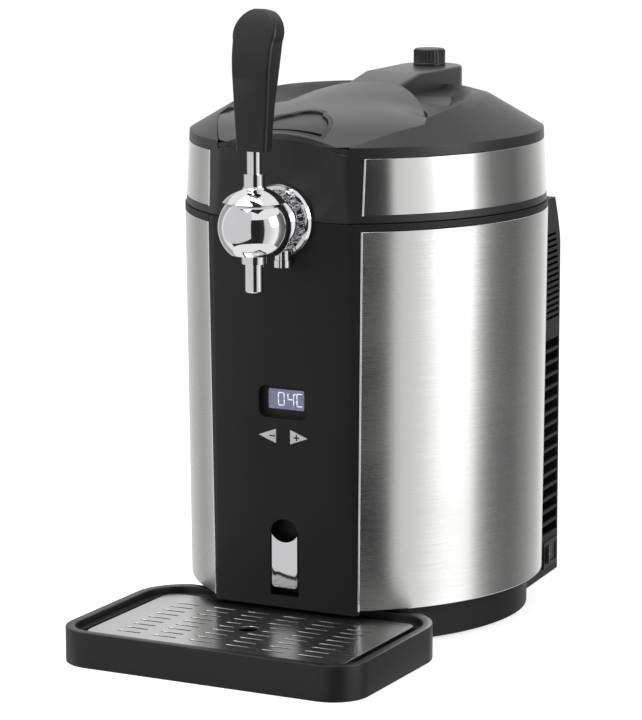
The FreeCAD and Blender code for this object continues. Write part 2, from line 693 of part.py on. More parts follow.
def inlet_block(grow, depth):
    """Space of the power inlet in the back wall."""
    return block(INLET_X - INLET_HALF_X - grow, INLET_X + INLET_HALF_X + grow, COVER_REAR_Y - depth,
                 COVER_REAR_Y + 5, INLET_Z - INLET_HALF_Z - grow, INLET_Z + INLET_HALF_Z + grow)


def build_switch():
    """Rocker switch: frame in the side wall and the rocker that tips in it."""
    lip = 1.0
    frame = block(-12.0, 0.0, -SWITCH_HALF_Y, SWITCH_HALF_Y, -SWITCH_HALF_Z, SWITCH_HALF_Z)
    bezel = block(SNUG / 2, lip, -SWITCH_HALF_Y - 1.5, SWITCH_HALF_Y + 1.5, -SWITCH_HALF_Z - 1.5,
                  SWITCH_HALF_Z + 1.5)
    neck = block(-1.0, lip, -SWITCH_HALF_Y, SWITCH_HALF_Y, -SWITCH_HALF_Z, SWITCH_HALF_Z)
    mouth = block(-9.5, 5, -SWITCH_HALF_Y + 2, SWITCH_HALF_Y - 2, -SWITCH_HALF_Z + 2, SWITCH_HALF_Z - 2)
    pin_hole = rod(ROCKER_PIN_RADIUS + RUNNING, V(ROCKER_X, 0, -SWITCH_HALF_Z + 1),
                   V(ROCKER_X, 0, SWITCH_HALF_Z - 1))
    keep("switch_frame", on_side(join([frame, bezel, neck]).cut(mouth).cut(pin_hole)))
    half_y = SWITCH_HALF_Y - 2 - CLEAR - 0.6
    half_z = SWITCH_HALF_Z - 2 - CLEAR
    crown = [V(ROCKER_X - 2.0, -half_y * 0.4, -half_z), V(ROCKER_X + 3.2, -half_y, -half_z),
             V(ROCKER_X + 5.8, -half_y, -half_z), V(ROCKER_X + 4.4, 0, -half_z),
             V(ROCKER_X + 5.8, half_y, -half_z), V(ROCKER_X + 3.2, half_y, -half_z),
             V(ROCKER_X - 2.0, half_y * 0.4, -half_z)]
    rocker = polygon(crown, V(0, 0, 2 * half_z))
    pin = rod(ROCKER_PIN_RADIUS, V(ROCKER_X, 0, -SWITCH_HALF_Z + 1 + SNUG),
              V(ROCKER_X, 0, SWITCH_HALF_Z - 1 - SNUG))
    rocker = rocker.fuse(pin)
    rocker.rotate(V(ROCKER_X, 0, 0), V(0, 0, 1), ROCKER_TILT)
    keep("power_rocker", on_side(rocker))


def build_inlet():
    """Socket for the power lead in the back wall."""
    lip = 1.2
    wide = 2 * BODY_HALF_WIDTH
    body = inlet_block(0, 20).common(block(-wide, wide, 0, COVER_REAR_Y, 0, wide))
    bezel = block(INLET_X - INLET_HALF_X - 2, INLET_X + INLET_HALF_X + 2, COVER_REAR_Y + SNUG / 2,
                  COVER_REAR_Y + lip, INLET_Z - INLET_HALF_Z - 2, INLET_Z + INLET_HALF_Z + 2)
    neck = inlet_block(0, 2).common(block(-wide, wide, 0, COVER_REAR_Y + lip, 0, wide))
    mouth = block(INLET_X - INLET_HALF_X + 2, INLET_X + INLET_HALF_X - 2, COVER_REAR_Y - 16,
                  COVER_REAR_Y + 5, INLET_Z - INLET_HALF_Z + 2, INLET_Z + INLET_HALF_Z - 2)
    pins = []
    for x, z in ((-7.0, -2.5), (0.0, 3.0), (7.0, -2.5)):
        pins.append(block(INLET_X + x - 1.0, INLET_X + x + 1.0, COVER_REAR_Y - 16.5, COVER_REAR_Y - 4,
                          INLET_Z + z - 2.0, INLET_Z + z + 2.0))
    shell = join([body, bezel, neck]).cut(mouth)
    keep("power_inlet", join([shell] + pins))


def build_cooling():
    """Cold block, thermoelectric module, finned heat sink, fan and the mains converter."""
    gap = COLD_HALF
    cold = block(-gap, gap, COLD_BACK_Y - COLD_LENGTH, COLD_BACK_Y, COLD_Z - gap, COLD_Z + gap)
    cold = cold.cut(Part.makeCylinder(WELL_RADIUS + LINER_WALL + RUNNING, SEAM))
    keep("cold_block", cold)
    plate_back = COLD_BACK_Y + MODULE_THICKNESS
    keep("peltier_module", block(-gap, gap, COLD_BACK_Y, plate_back, COLD_Z - gap, COLD_Z + gap))
    sink_half = FAN_SIZE / 2
    base_back = plate_back + SINK_BASE
    sink = [block(-sink_half, sink_half, plate_back, base_back, COLD_Z - sink_half, COLD_Z + sink_half)]
    pitch = (FAN_SIZE - FIN_THICKNESS) / (FIN_COUNT - 1)
    for index in range(FIN_COUNT):
        x = -sink_half + index * pitch
        sink.append(block(x, x + FIN_THICKNESS, base_back, base_back + FIN_DEPTH, COLD_Z - sink_half,
                          COLD_Z + sink_half))
    keep("heat_sink", join(sink))
    fan_y = base_back + FIN_DEPTH + SNUG
    frame = block(-sink_half, sink_half, fan_y, fan_y + FAN_DEPTH, COLD_Z - sink_half, COLD_Z + sink_half)
    frame = frame.cut(rod(sink_half - 2, V(0, fan_y - 1, COLD_Z), V(0, fan_y + FAN_DEPTH + 1, COLD_Z)))
    hub_radius = 16.0
    stator = rod(hub_radius, V(0, fan_y, COLD_Z), V(0, fan_y + 3, COLD_Z))
    arms = []
    for turn in range(4):
        arm = block(0, sink_half - 1, fan_y, fan_y + 2.5, COLD_Z - 2, COLD_Z + 2)
        arm.rotate(V(0, 0, COLD_Z), V(0, 1, 0), 45 + 90 * turn)
        arms.append(arm)
    spindle = rod(2.0, V(0, fan_y, COLD_Z), V(0, fan_y + 9, COLD_Z))
    keep("fan_frame", join([frame, stator, spindle] + arms))
    hub = rod(hub_radius, V(0, fan_y + 3 + CLEAR, COLD_Z), V(0, fan_y + FAN_DEPTH - 1, COLD_Z))
    blades = []
    for turn in range(FAN_BLADES):
        blade = block(hub_radius - 1, sink_half - 4, -0.6, 0.6, -7, 7)
        blade.rotate(V(0, 0, 0), V(1, 0, 0), 45)
        blade = blade.translated(V(0, fan_y + 9.2, COLD_Z))
        blade.rotate(V(0, fan_y, COLD_Z), V(0, 1, 0), 360.0 / FAN_BLADES * turn)
        blades.append(blade)
    rotor = join([hub] + blades)
    keep("fan_rotor", rotor.cut(rod(2.0 + RUNNING, V(0, fan_y, COLD_Z), V(0, fan_y + 9.2, COLD_Z))))
    keep("power_converter", block(-CONVERTER_HALF, CONVERTER_HALF, plate_back, base_back + FIN_DEPTH,
                                  FLOOR_TOP, FLOOR_TOP + CONVERTER_HEIGHT))


# ---------------------------------------------------------------------------------------------
# Front controls
# ---------------------------------------------------------------------------------------------
def build_controls():
    """Temperature display, the two buttons and the board behind them."""
    face = face_y(DISPLAY_Z)
    lcd_front = face + DISPLAY_DEPTH + WALL / 2 + SNUG / 2
    lcd_back = lcd_front + 3.0
    glass = rounded_plate(WINDOW_HALF_WIDTH - SNUG, WINDOW_HALF_HEIGHT - SNUG, WINDOW_Z, 1.0,
                          face + DISPLAY_DEPTH + 0.3, lcd_front)
    keep("display_glass", glass)
    keep("display_module", block(-DISPLAY_HALF_WIDTH, DISPLAY_HALF_WIDTH, lcd_front, lcd_back,
                                 WINDOW_Z - 11, WINDOW_Z + 11))
    board_back = lcd_back + 1.6
    board_low = BUTTON_Z - 14
    board = block(-28, 28, lcd_back, board_back, board_low, WINDOW_Z + 16)
    posts = []
    for x in (-25.0, 25.0):
        for z in (board_low + 3, WINDOW_Z + 13):
            posts.append(rod(2.5, V(x, face_y(z) + WALL - 0.2, z), V(x, lcd_back, z)))
    keep("control_board", board)
    PIECES["front_panel"] = join([PIECES["front_panel"]] + posts).removeSplitter()
    switches = []
    for side, name in ((-1, "button_minus"), (1, "button_plus")):
        front = face_y(BUTTON_Z) - 0.8
        cap = button_outline(side, 0, front, WALL + 1.6)
        centre = side * (BUTTON_TIP + 2 * BUTTON_BASE) / 3.0
        flange = block(centre - 8.0, centre + 8.0, front + WALL + 1.4, front + WALL + 2.6,
                       BUTTON_Z - 7, BUTTON_Z + 7)
        stem = rod(2.0, V(centre, front + WALL + 2, BUTTON_Z), V(centre, button_stem_end(), BUTTON_Z))
        keep(name, join([cap, flange, stem]))
        switch_front = button_stem_end() + BUTTON_TRAVEL + CLEAR
        switches.append(block(centre - 3, centre + 3, switch_front, lcd_back, BUTTON_Z - 3, BUTTON_Z + 3))
    keep("tact_switches", Part.makeCompound(switches))


def button_stem_end():
    """Depth at which a button's stem ends when it isn't pressed."""
    return face_y(DISPLAY_Z) + DISPLAY_DEPTH + WALL / 2 + SNUG / 2


# ---------------------------------------------------------------------------------------------
# Tap
# ---------------------------------------------------------------------------------------------
def tap_point(dx, dy, dz):
    """Point measured from the centre of the tap's ball."""
    return V(dx, TAP_Y + dy, SEAM + dz)


def screw_y():
    """Depth of the thumb screw under the flange."""
    return FACE_Y_TOP - CLEAR - 6.8


def build_tap():
    """Chrome tap: bracket, shank and nut, flange, coupling nut, ball, collar, spout and plunger."""
    y = BRACKET_Y
    bracket = block(-BRACKET_HALF_WIDTH, BRACKET_HALF_WIDTH, y, y + BRACKET_THICKNESS, SEAM - 24, SEAM + 18)
    shelf_z = SEAM - 24
    shelf = block(-BRACKET_HALF_WIDTH, BRACKET_HALF_WIDTH, y, FOAM_FRONT_Y - SNUG, shelf_z, shelf_z + 3)
    hole = rod(SHANK_RADIUS + RUNNING, tap_point(0, 0, 0), tap_point(0, 90, 0))
    keep("tap_bracket", bracket.fuse(shelf).cut(hole))
    shank_end = y + BRACKET_THICKNESS + 18 - TAP_Y
    shank = rod(SHANK_RADIUS, tap_point(0, NECK_START, 0), tap_point(0, shank_end, 0))
    barb = turned([(0, 0), (5, 0), (5, 4), (4, 6), (5, 6), (4, 9), (5, 9), (3.5, 13), (0, 13)],
                  tap_point(0, shank_end - 0.01, 0), "Y")
    plunger_bore = rod(PLUNGER_RADIUS + RUNNING, tap_point(0, NECK_START - 1, -PLUNGER_DROP),
                       tap_point(0, PLUNGER_END + 8, -PLUNGER_DROP))
    bore = rod(2.5, tap_point(0, PLUNGER_END + 2, -2), tap_point(0, shank_end + 20, -2))
    shank = shank.fuse(barb).cut(plunger_bore).cut(bore)
    keep("tap_shank", shank)
    nut_y = y + BRACKET_THICKNESS + SNUG / 2
    nut_points = []
    for corner in range(6):
        angle = math.radians(60 * corner)
        nut_points.append(V(16.5 * math.cos(angle), nut_y, SEAM + 16.5 * math.sin(angle)))
    nut = polygon(nut_points, V(0, 8, 0))
    keep("shank_nut", nut.cut(rod(SHANK_RADIUS + RUNNING, V(0, nut_y - 1, SEAM), V(0, nut_y + 9, SEAM))))

    back = FACE_Y_TOP - CLEAR - TAP_Y
    inner = SHANK_RADIUS + RUNNING
    flange = turned([(inner, back), (FLANGE_RADIUS, back), (FLANGE_RADIUS, back - 3.5),
                     (FLANGE_RADIUS - 1.2, back - 5.5), (FLANGE_RADIUS - 3.5, back - 6.0),
                     (COUPLING_RADIUS + CLEAR, back - 4.0), (inner, back - 4.0)], tap_point(0, 0, 0), "Y")
    lug = Part.makeCylinder(6.0, 7.0, V(SCREW_X, screw_y(), SEAM - FLANGE_RADIUS - 1.0))
    wide = 2 * BODY_HALF_WIDTH
    lug = lug.common(block(-wide, wide, -wide, FACE_Y_TOP - CLEAR, 0, 2 * SEAM))
    lug = lug.cut(rod(FLANGE_RADIUS - 4, tap_point(0, 0, 0), tap_point(0, back - 3.5, 0)))
    screw_hole = Part.makeCylinder(2.0, 40, V(SCREW_X, screw_y(), SEAM - FLANGE_RADIUS - 10))
    screw_hole = screw_hole.common(block(-wide, wide, -wide, 0, 0, SCREW_TOP))
    keep("tap_flange", flange.fuse(lug).cut(screw_hole))
    head_low = SEAM - FLANGE_RADIUS - 1.0 - SNUG / 2 - SCREW_HEAD
    head = Part.makeCylinder(6.6, SCREW_HEAD, V(SCREW_X, screw_y(), head_low))
    shaft = Part.makeCylinder(2.0 - RUNNING, SCREW_TOP - 0.3 - head_low, V(SCREW_X, screw_y(), head_low))
    keep("flange_screw", head.fuse(shaft))
    ring_back = back - 4.0 - SNUG / 2
    ring_front = NECK_START + 1.0
    drum = COUPLING_RADIUS - RIB_RADIUS
    coupling = turned([(inner, ring_back), (drum, ring_back), (drum, ring_front + 4),
                       (drum - 2.2, ring_front), (inner, ring_front)], tap_point(0, 0, 0), "Y")
    ribs = []
    for turn in range(COUPLING_RIBS):
        rib = rod(RIB_RADIUS, tap_point(drum, ring_front + 5, 0), tap_point(drum, ring_back, 0))
        rib.rotate(tap_point(0, 0, 0), V(0, 1, 0), 360.0 / COUPLING_RIBS * turn)
        ribs.append(rib)
    keep("coupling_nut", join([coupling] + ribs))

    ball = Part.makeSphere(BALL_RADIUS, tap_point(0, 0, 0))
    ball = ball.cut(block(-40, 40, TAP_Y - 40, TAP_Y + 40, SEAM - 60, SEAM - BALL_FLAT))
    ball = ball.cut(rod(40, tap_point(0, NECK_START, 0), tap_point(0, 60, 0)))
    slot = block(-LEVER_RADIUS - 0.5, LEVER_RADIUS + 0.5, TAP_Y - 18.5, TAP_Y + 6.2, SEAM - 9.5, SEAM + 40)
    pin_hole = rod(PIVOT_RADIUS, tap_point(-14, 0, 0), tap_point(14, 0, 0))
    ball = ball.cut(slot).cut(pin_hole).cut(plunger_bore)
    plunger_way = rod(PLUNGER_RADIUS + RUNNING, tap_point(0, -6, -PLUNGER_DROP),
                      tap_point(0, NECK_START + 1, -PLUNGER_DROP))
    outlet = rod(SPOUT_BORE, tap_point(0, -1, -BALL_FLAT - 1), tap_point(0, -1, -7))
    ball = ball.cut(plunger_way).cut(outlet)
    keep("tap_ball", ball)
    keep("lever_pivot_pin", rod(PIVOT_RADIUS, tap_point(-13.8, 0, 0), tap_point(13.8, 0, 0)))
    collar_low = SEAM - BALL_FLAT - COLLAR_HEIGHT
    collar = turned([(SPOUT_BORE, 0), (COLLAR_RADIUS, 0), (COLLAR_RADIUS, COLLAR_HEIGHT - 1.0),
                     (COLLAR_RADIUS - 1.0, COLLAR_HEIGHT), (SPOUT_BORE, COLLAR_HEIGHT)],
                    V(0, TAP_Y - 1, collar_low), "Z")
    keep("spout_collar", collar)
    spout_length = collar_low - SPOUT_BOTTOM
    spout = turned([(SPOUT_BORE, 0), (SPOUT_RADIUS - 0.6, 0), (SPOUT_RADIUS, 0.8),
                    (SPOUT_RADIUS, spout_length), (SPOUT_BORE, spout_length)],
                   V(0, TAP_Y - 1, SPOUT_BOTTOM), "Z")
    keep("spout", spout)

    plunger = rod(PLUNGER_RADIUS, tap_point(0, -5.0, -PLUNGER_DROP), tap_point(0, PLUNGER_END, -PLUNGER_DROP))
    flat = block(-10, 10, TAP_Y - 10, TAP_Y + 8, SEAM - PLUNGER_DROP + PLUNGER_FLAT, SEAM + 20)
    fork_half = FINGER_RADIUS + CLEAR + 2 * RUNNING
    fork = block(-10, 10, TAP_Y - fork_half, TAP_Y + fork_half, SEAM - PLUNGER_DROP - 2.2, SEAM + 20)
    keep("valve_plunger", plunger.cut(flat).cut(fork))


def handle_front_view(z0, z1):
    """Handle seen from the front: slightly flared, with a round crown."""
    foot, waist, brow = HANDLE_HALF_WIDTHS
    side = [V(foot, 0, z0), V(waist, 0, z0 + 40), V(brow, 0, z0 + 77)]
    crown = V(brow * 0.72, 0, z1 - 4.6)
    top = V(0, 0, z1)

    def flip(p):
        return V(-p.x, p.y, p.z)
    edges = [line(flip(side[0]), side[0]), arc(*side), arc(side[2], crown, top),
             arc(top, flip(crown), flip(side[2])), arc(flip(side[2]), flip(side[1]), flip(side[0]))]
    depth = 2 * BALL_RADIUS
    return extrude(edges, V(0, 2 * depth, 0)).translated(V(0, TAP_Y - depth, 0))


def handle_side_view(z0, z1):
    """Handle seen from the side: upright front, back that grows thicker, top that leans back."""
    front = TAP_Y - HANDLE_FRONT
    edges = [line(V(0, front, z0), V(0, front - 0.3, z0 + 50)),
             arc(V(0, front - 0.3, z0 + 50), V(0, front + 2.6, z0 + 75), V(0, front + 14.5, z1)),
             line(V(0, front + 14.5, z1), V(0, front + 24.0, z1 - 3)),
             arc(V(0, front + 24.0, z1 - 3), V(0, front + 18.6, z0 + 62), V(0, front + 13.4, z0 + 32)),
             line(V(0, front + 13.4, z0 + 32), V(0, front + HANDLE_DEPTH, z0)),
             line(V(0, front + HANDLE_DEPTH, z0), V(0, front, z0))]
    width = 2 * BALL_RADIUS
    return extrude(edges, V(2 * width, 0, 0)).translated(V(-width, 0, 0))


def build_lever():
    """Lever that tips about the ball's centre: cap, stem with its finger, and the handle."""
    centre = tap_point(0, 0, 0)
    outside = BALL_RADIUS + CLEAR + CAP_THICKNESS
    cap = Part.makeSphere(outside, centre)
    cap = cap.common(block(-outside, outside, TAP_Y - outside, TAP_Y + outside, SEAM + CAP_LOW,
                           SEAM + outside))
    sleeve = rod(SLEEVE_RADIUS, tap_point(0, 0, BALL_FLAT), tap_point(0, 0, CAP_TOP))
    cap = cap.fuse(sleeve)
    neck = [e for e in cap.Edges if e.Curve.TypeId == "Part::GeomCircle"
            and abs(e.Curve.Radius - SLEEVE_RADIUS) < 0.01
            and e.BoundBox.ZMax < SEAM + CAP_TOP - 1 and e.BoundBox.ZMin > SEAM + CAP_LOW + 1]
    cap = cap.makeFillet(NECK_FILLET, neck)
    cap = cap.cut(Part.makeSphere(BALL_RADIUS + CLEAR, centre))
    cap = cap.cut(rod(LEVER_RADIUS + RUNNING / 2, centre, tap_point(0, 0, CAP_TOP + 1)))
    keep("lever_cap", cap)
    shoulder = HANDLE_BOTTOM - SNUG / 2 - SEAM
    stem = rod(LEVER_RADIUS, tap_point(0, 0, 6.0), tap_point(0, 0, shoulder))
    tang = rod(TANG_RADIUS, tap_point(0, 0, shoulder - 1), tap_point(0, 0, shoulder + TANG_LENGTH))
    eye_radius = PLUNGER_DROP - PLUNGER_FLAT - SNUG - 0.1
    eye = rod(eye_radius, tap_point(-LEVER_RADIUS, 0, 0), tap_point(LEVER_RADIUS, 0, 0))
    shin = rod(eye_radius - 0.3, centre, tap_point(0, 0, 7.0))
    finger = rod(FINGER_RADIUS * 0.64, centre, tap_point(0, 0, -PLUNGER_DROP))
    tip = Part.makeSphere(FINGER_RADIUS, tap_point(0, 0, -PLUNGER_DROP))
    bore = rod(PIVOT_RADIUS + RUNNING, tap_point(-10, 0, 0), tap_point(10, 0, 0))
    keep("lever_stem", join([stem, tang, eye, shin, tip, finger]).cut(bore))
    handle = handle_front_view(HANDLE_BOTTOM, HANDLE_TOP).common(handle_side_view(HANDLE_BOTTOM, HANDLE_TOP))
    rims = [e for e in handle.Edges if e.BoundBox.ZMax > HANDLE_BOTTOM + 1]
    handle = handle.makeFillet(HANDLE_ROUNDING, rims)
    socket_end = tap_point(0, 0, shoulder + TANG_LENGTH + SNUG)
    socket = rod(TANG_RADIUS + RUNNING / 2, tap_point(0, 0, shoulder - 1), socket_end)
    keep("tap_handle", handle.cut(socket))


# ---------------------------------------------------------------------------------------------
# Drip tray
# ---------------------------------------------------------------------------------------------
def tray_outline(inset, z):
    """Tray seen from above: round front corners and back corners that close in."""
    half = TRAY_HALF_WIDTH - inset
    front = TRAY_FRONT_Y + inset
    back = TRAY_BACK_Y - inset
    corner = TRAY_CORNER - inset
    bend = corner * (1 - math.sqrt(0.5))
    waist = V(half, TRAY_WAIST_Y, z)
    shoulder = V(half - TRAY_SHOULDER_IN, TRAY_WAIST_Y + TRAY_SHOULDER_BACK - inset / 2, z)
    heel = V(TRAY_BACK_HALF_WIDTH - inset, back, z)
    right = [arc(V(half - corner, front, z), V(half - bend, front + bend, z), V(half, front + corner, z)),
             line(V(half, front + corner, z), waist), arc(waist, shoulder, heel)]
    left = [arc(V(-heel.x, heel.y, z), V(-shoulder.x, shoulder.y, z), V(-waist.x, waist.y, z)),
            line(V(-waist.x, waist.y, z), V(-half, front + corner, z)),
            arc(V(-half, front + corner, z), V(-half + bend, front + bend, z), V(-half + corner, front, z))]
    closing = [line(heel, V(-heel.x, heel.y, z))]
    start = [line(V(-half + corner, front, z), V(half - corner, front, z))]
    return Part.Wire(start + right + closing + left)


def tray_prism(inset, z0, z1):
    """Solid over the tray's plan between two heights."""
    return Part.Face(tray_outline(inset, z0)).extrude(V(0, 0, z1 - z0))


def build_tray():
    """Drip tray: rim, seat for the grid, deep pan, and two rails that carry the grid's sides."""
    above = 2 * TRAY_HEIGHT
    seat_z = GRID_TOP - GRID_THICKNESS - GRID_REST
    tray = tray_prism(0, 0, TRAY_HEIGHT).cut(tray_prism(TRAY_RIM, seat_z, above))
    tray = tray.cut(tray_prism(TRAY_RIM + TRAY_TROUGH, TRAY_WALL, above))
    rail_front = TRAY_FRONT_Y + TRAY_RIM + TRAY_TROUGH - 1
    rail_back = TRAY_BACK_Y - TRAY_RIM - TRAY_TROUGH + 1
    outer = GRID_HALF_WIDTH - RAIL_WIDTH / 2
    for x in (-outer, outer - RAIL_WIDTH):
        rail = block(x, x + RAIL_WIDTH, rail_front, rail_back, TRAY_WALL / 2, seat_z)
        tray = tray.fuse(rail.common(tray_prism(TRAY_RIM, 0, TRAY_HEIGHT)))
    half = PANEL_EDGE_BOTTOM + RAIL_WIDTH
    step = block(-half, half, TRAY_BACK_Y - 2 * TRAY_RIM, TRAY_BACK_Y + 1, TRAY_BACK_TOP, above)
    keep("drip_tray", tray.cut(step))


def build_grid():
    """Stainless plate on the tray, with rows of slots and a finger hole."""
    half = GRID_HALF_WIDTH
    front = TRAY_FRONT_Y + TRAY_RIM + GRID_GAP
    z0 = GRID_TOP - GRID_THICKNESS
    plate = block(-half, half, front, GRID_BACK_Y, z0, GRID_TOP)
    for radius, y in ((GRID_FRONT_CORNER, front), (GRID_CORNER, GRID_BACK_Y)):
        corners = [e for e in plate.Edges if abs(e.Vertexes[0].Z - e.Vertexes[-1].Z) > 1
                   and abs(e.Vertexes[0].Y - y) < 0.1 and abs(e.Vertexes[-1].Y - y) < 0.1]
        plate = plate.makeFillet(radius, corners)
    cutters = []
    keep_off = FINGER_HOLE_RADIUS + 2 * SLOT_WIDTH
    for column in range(SLOT_COLUMNS):
        x = (column - (SLOT_COLUMNS - 1) / 2.0) * SLOT_PITCH_X
        for row in range(SLOT_ROWS):
            y = SLOT_FRONT_Y + row * SLOT_PITCH_Y
            start, end = x - SLOT_LENGTH / 2, x + SLOT_LENGTH / 2
            near = abs(y - FINGER_HOLE_Y) < keep_off - SLOT_WIDTH and abs(x) < SLOT_PITCH_X
            if near and x > 0:
                start = keep_off
            if near and x < 0:
                end = -keep_off
            cutters.append(block(start, end, y - SLOT_WIDTH / 2, y + SLOT_WIDTH / 2, z0 - 1, GRID_TOP + 1))
    cutters.append(Part.makeCylinder(FINGER_HOLE_RADIUS, GRID_THICKNESS + 2, V(0, FINGER_HOLE_Y, z0 - 1)))
    keep("drip_grid", plate.cut(Part.makeCompound(cutters)))


# ---------------------------------------------------------------------------------------------
# Lid
# ---------------------------------------------------------------------------------------------
def dome_cone(drop, inset, top_z):
    """Sloping side of the dome, lowered and set in from its outside."""
    z0 = LID_RIM_TOP - drop
    radius0 = LID_HALF_WIDTH_TOP - inset
    radius1 = radius0 - (top_z - z0) / DOME_SLOPE
    return loft(oval(radius0, z0), oval(radius1, top_z))


def hood_section(y, ridge, radius):
    """Outline across the hood at one depth: a crowned top over straight sides."""
    half = HOOD_TIP_X + WALL
    side_z = ridge - radius + math.sqrt(radius ** 2 - half ** 2)
    low = SEAM
    return Part.Wire([arc(V(-half, y, side_z), V(0, y, ridge), V(half, y, side_z)),
                      line(V(half, y, side_z), V(half, y, low)), line(V(half, y, low), V(-half, y, low)),
                      line(V(-half, y, low), V(-half, y, side_z))])


def hood_solid(drop):
    """Everything under the hood's crown, lowered by drop."""
    sections = [hood_section(*values) for values in HOOD_SECTIONS]
    return Part.makeLoft(sections, True, False).translated(V(0, 0, -drop))


def spine_top_solid():
    """Everything under the spine's ramp and its flat top."""
    y0, y1 = HOOD_REAR_Y - 40, KNOB_Y + 2 * SPINE_REAR_RADIUS
    low_ramp = SPINE_TOP_Z - SPINE_RAMP_SLOPE * (SPINE_RAMP_Y - y0)
    points = [V(0, y0, SEAM), V(0, y0, low_ramp), V(0, SPINE_RAMP_Y, SPINE_TOP_Z), V(0, y1, SPINE_TOP_Z),
              V(0, y1, SEAM)]
    width = 2 * SPINE_REAR_RADIUS
    return polygon(points, V(2 * width, 0, 0)).translated(V(-width, 0, 0))


def before_front():
    """Block that keeps what lies behind the lid's flat front."""
    wide = 2 * BODY_HALF_WIDTH
    return block(-wide, wide, FACE_Y_TOP, wide, SEAM - WALL, 2 * SEAM)


def hood_zone(inset):
    """Plan of the hood: its sides widen from the front, then its rear edge runs in to the spine."""
    z0, z1 = SEAM, 2 * SEAM
    front = FACE_Y_TOP - 8
    corner = V(46.0 - inset, front, z0)
    flank = V(68.0 - inset, -113.0, z0)
    tip = V(HOOD_TIP_X - inset, HOOD_TIP_Y - inset, z0)
    lip = V(62.5 - inset * 0.8, -33.0 - inset * 0.8, z0)
    inner = V(SPINE_FRONT_HALF_WIDTH + 2.0, HOOD_REAR_Y - inset, z0)

    def flip(p):
        return V(-p.x, p.y, p.z)
    edges = [line(flip(corner), corner), arc(corner, flank, tip), arc(tip, lip, inner),
             line(inner, flip(inner)), arc(flip(inner), flip(lip), flip(tip)),
             arc(flip(tip), flip(flank), flip(corner))]
    return extrude(edges, V(0, 0, z1 - z0))


def channel_wire(shrink, z):
    """Plan of the bowl around the spine, drawn in by shrink."""
    tip = V(100.0 - shrink, -92.0, z)
    belly = V(97.0 - shrink, -36.0, z)
    hip = V(84.5 - shrink, -2.0, z)
    haunch = V(66.0 - shrink * 0.75, 43.0 - shrink * 0.65, z)
    back = V(SPINE_FRONT_HALF_WIDTH - shrink * 0.2, CHANNEL_BACK_Y - shrink, z)

    def flip(p):
        return V(-p.x, p.y, p.z)
    return Part.Wire([line(flip(tip), tip), arc(tip, belly, hip), arc(hip, haunch, back),
                      line(back, flip(back)), arc(flip(back), flip(haunch), flip(hip)),
                      arc(flip(hip), flip(belly), flip(tip))])


def channel_solid(drop):
    """Shallow finger channels on both sides of the spine, lowered by drop."""
    rise = CHANNEL_DRAFT / 2
    bowl = loft(channel_wire(CHANNEL_DRAFT, DOME_FLAT_Z - rise),
                channel_wire(-CHANNEL_DRAFT, DOME_FLAT_Z + rise))
    wide = BODY_HALF_WIDTH
    inner = SPINE_FRONT_HALF_WIDTH
    low = CHANNEL_TOP - CHANNEL_FALL * (wide - inner)
    top = 2 * SEAM
    y0, y1 = -wide, 2 * wide
    points = [V(-wide, y0, low), V(-inner, y0, CHANNEL_TOP), V(inner, y0, CHANNEL_TOP), V(wide, y0, low),
              V(wide, y0, top), V(-wide, y0, top)]
    floor = polygon(points, V(0, y1, 0))
    return bowl.common(floor).cut(hood_zone(0)).translated(V(0, 0, -drop))


def latch_plan(inset, z0, z1):
    """D-shaped plan of the latch recess at the front of the hood."""
    half = LATCH_HALF_WIDTH - inset
    front = LATCH_FRONT_Y + inset
    back = LATCH_BACK_Y - inset
    shoulder = V(half, LATCH_FRONT_Y + 5.5, z0)
    flank = V(27.5 - 0.85 * inset, -113.5 - 0.5 * inset, z0)
    brow = V(14.0 - 0.6 * inset, -97.0 - 0.8 * inset, z0)

    def flip(p):
        return V(-p.x, p.y, p.z)
    edges = [line(V(-half, front, z0), V(half, front, z0)), line(V(half, front, z0), shoulder),
             arc(shoulder, flank, brow), arc(brow, V(0, back, z0), flip(brow)),
             arc(flip(brow), flip(flank), flip(shoulder)), line(flip(shoulder), V(-half, front, z0))]
    return extrude(edges, V(0, 0, z1 - z0))


def dome_outer():
    """Outside of the dome above the lid's upright wall: sloping side, shoulder and flat crest."""
    dome = dome_cone(0, 0, DOME_FLAT_Z)
    shoulder_z = LID_RIM_TOP + (LID_HALF_WIDTH_TOP - SHOULDER_RADIUS) * DOME_SLOPE
    low = LID_RIM_TOP
    spread = (shoulder_z - low) / SHOULDER_SLOPE
    draw_in = (DOME_FLAT_Z - shoulder_z) / SHOULDER_SLOPE
    shoulder = loft(oval(SHOULDER_RADIUS + spread, low), oval(SHOULDER_RADIUS - draw_in, DOME_FLAT_Z))
    return dome.common(shoulder).common(before_front())


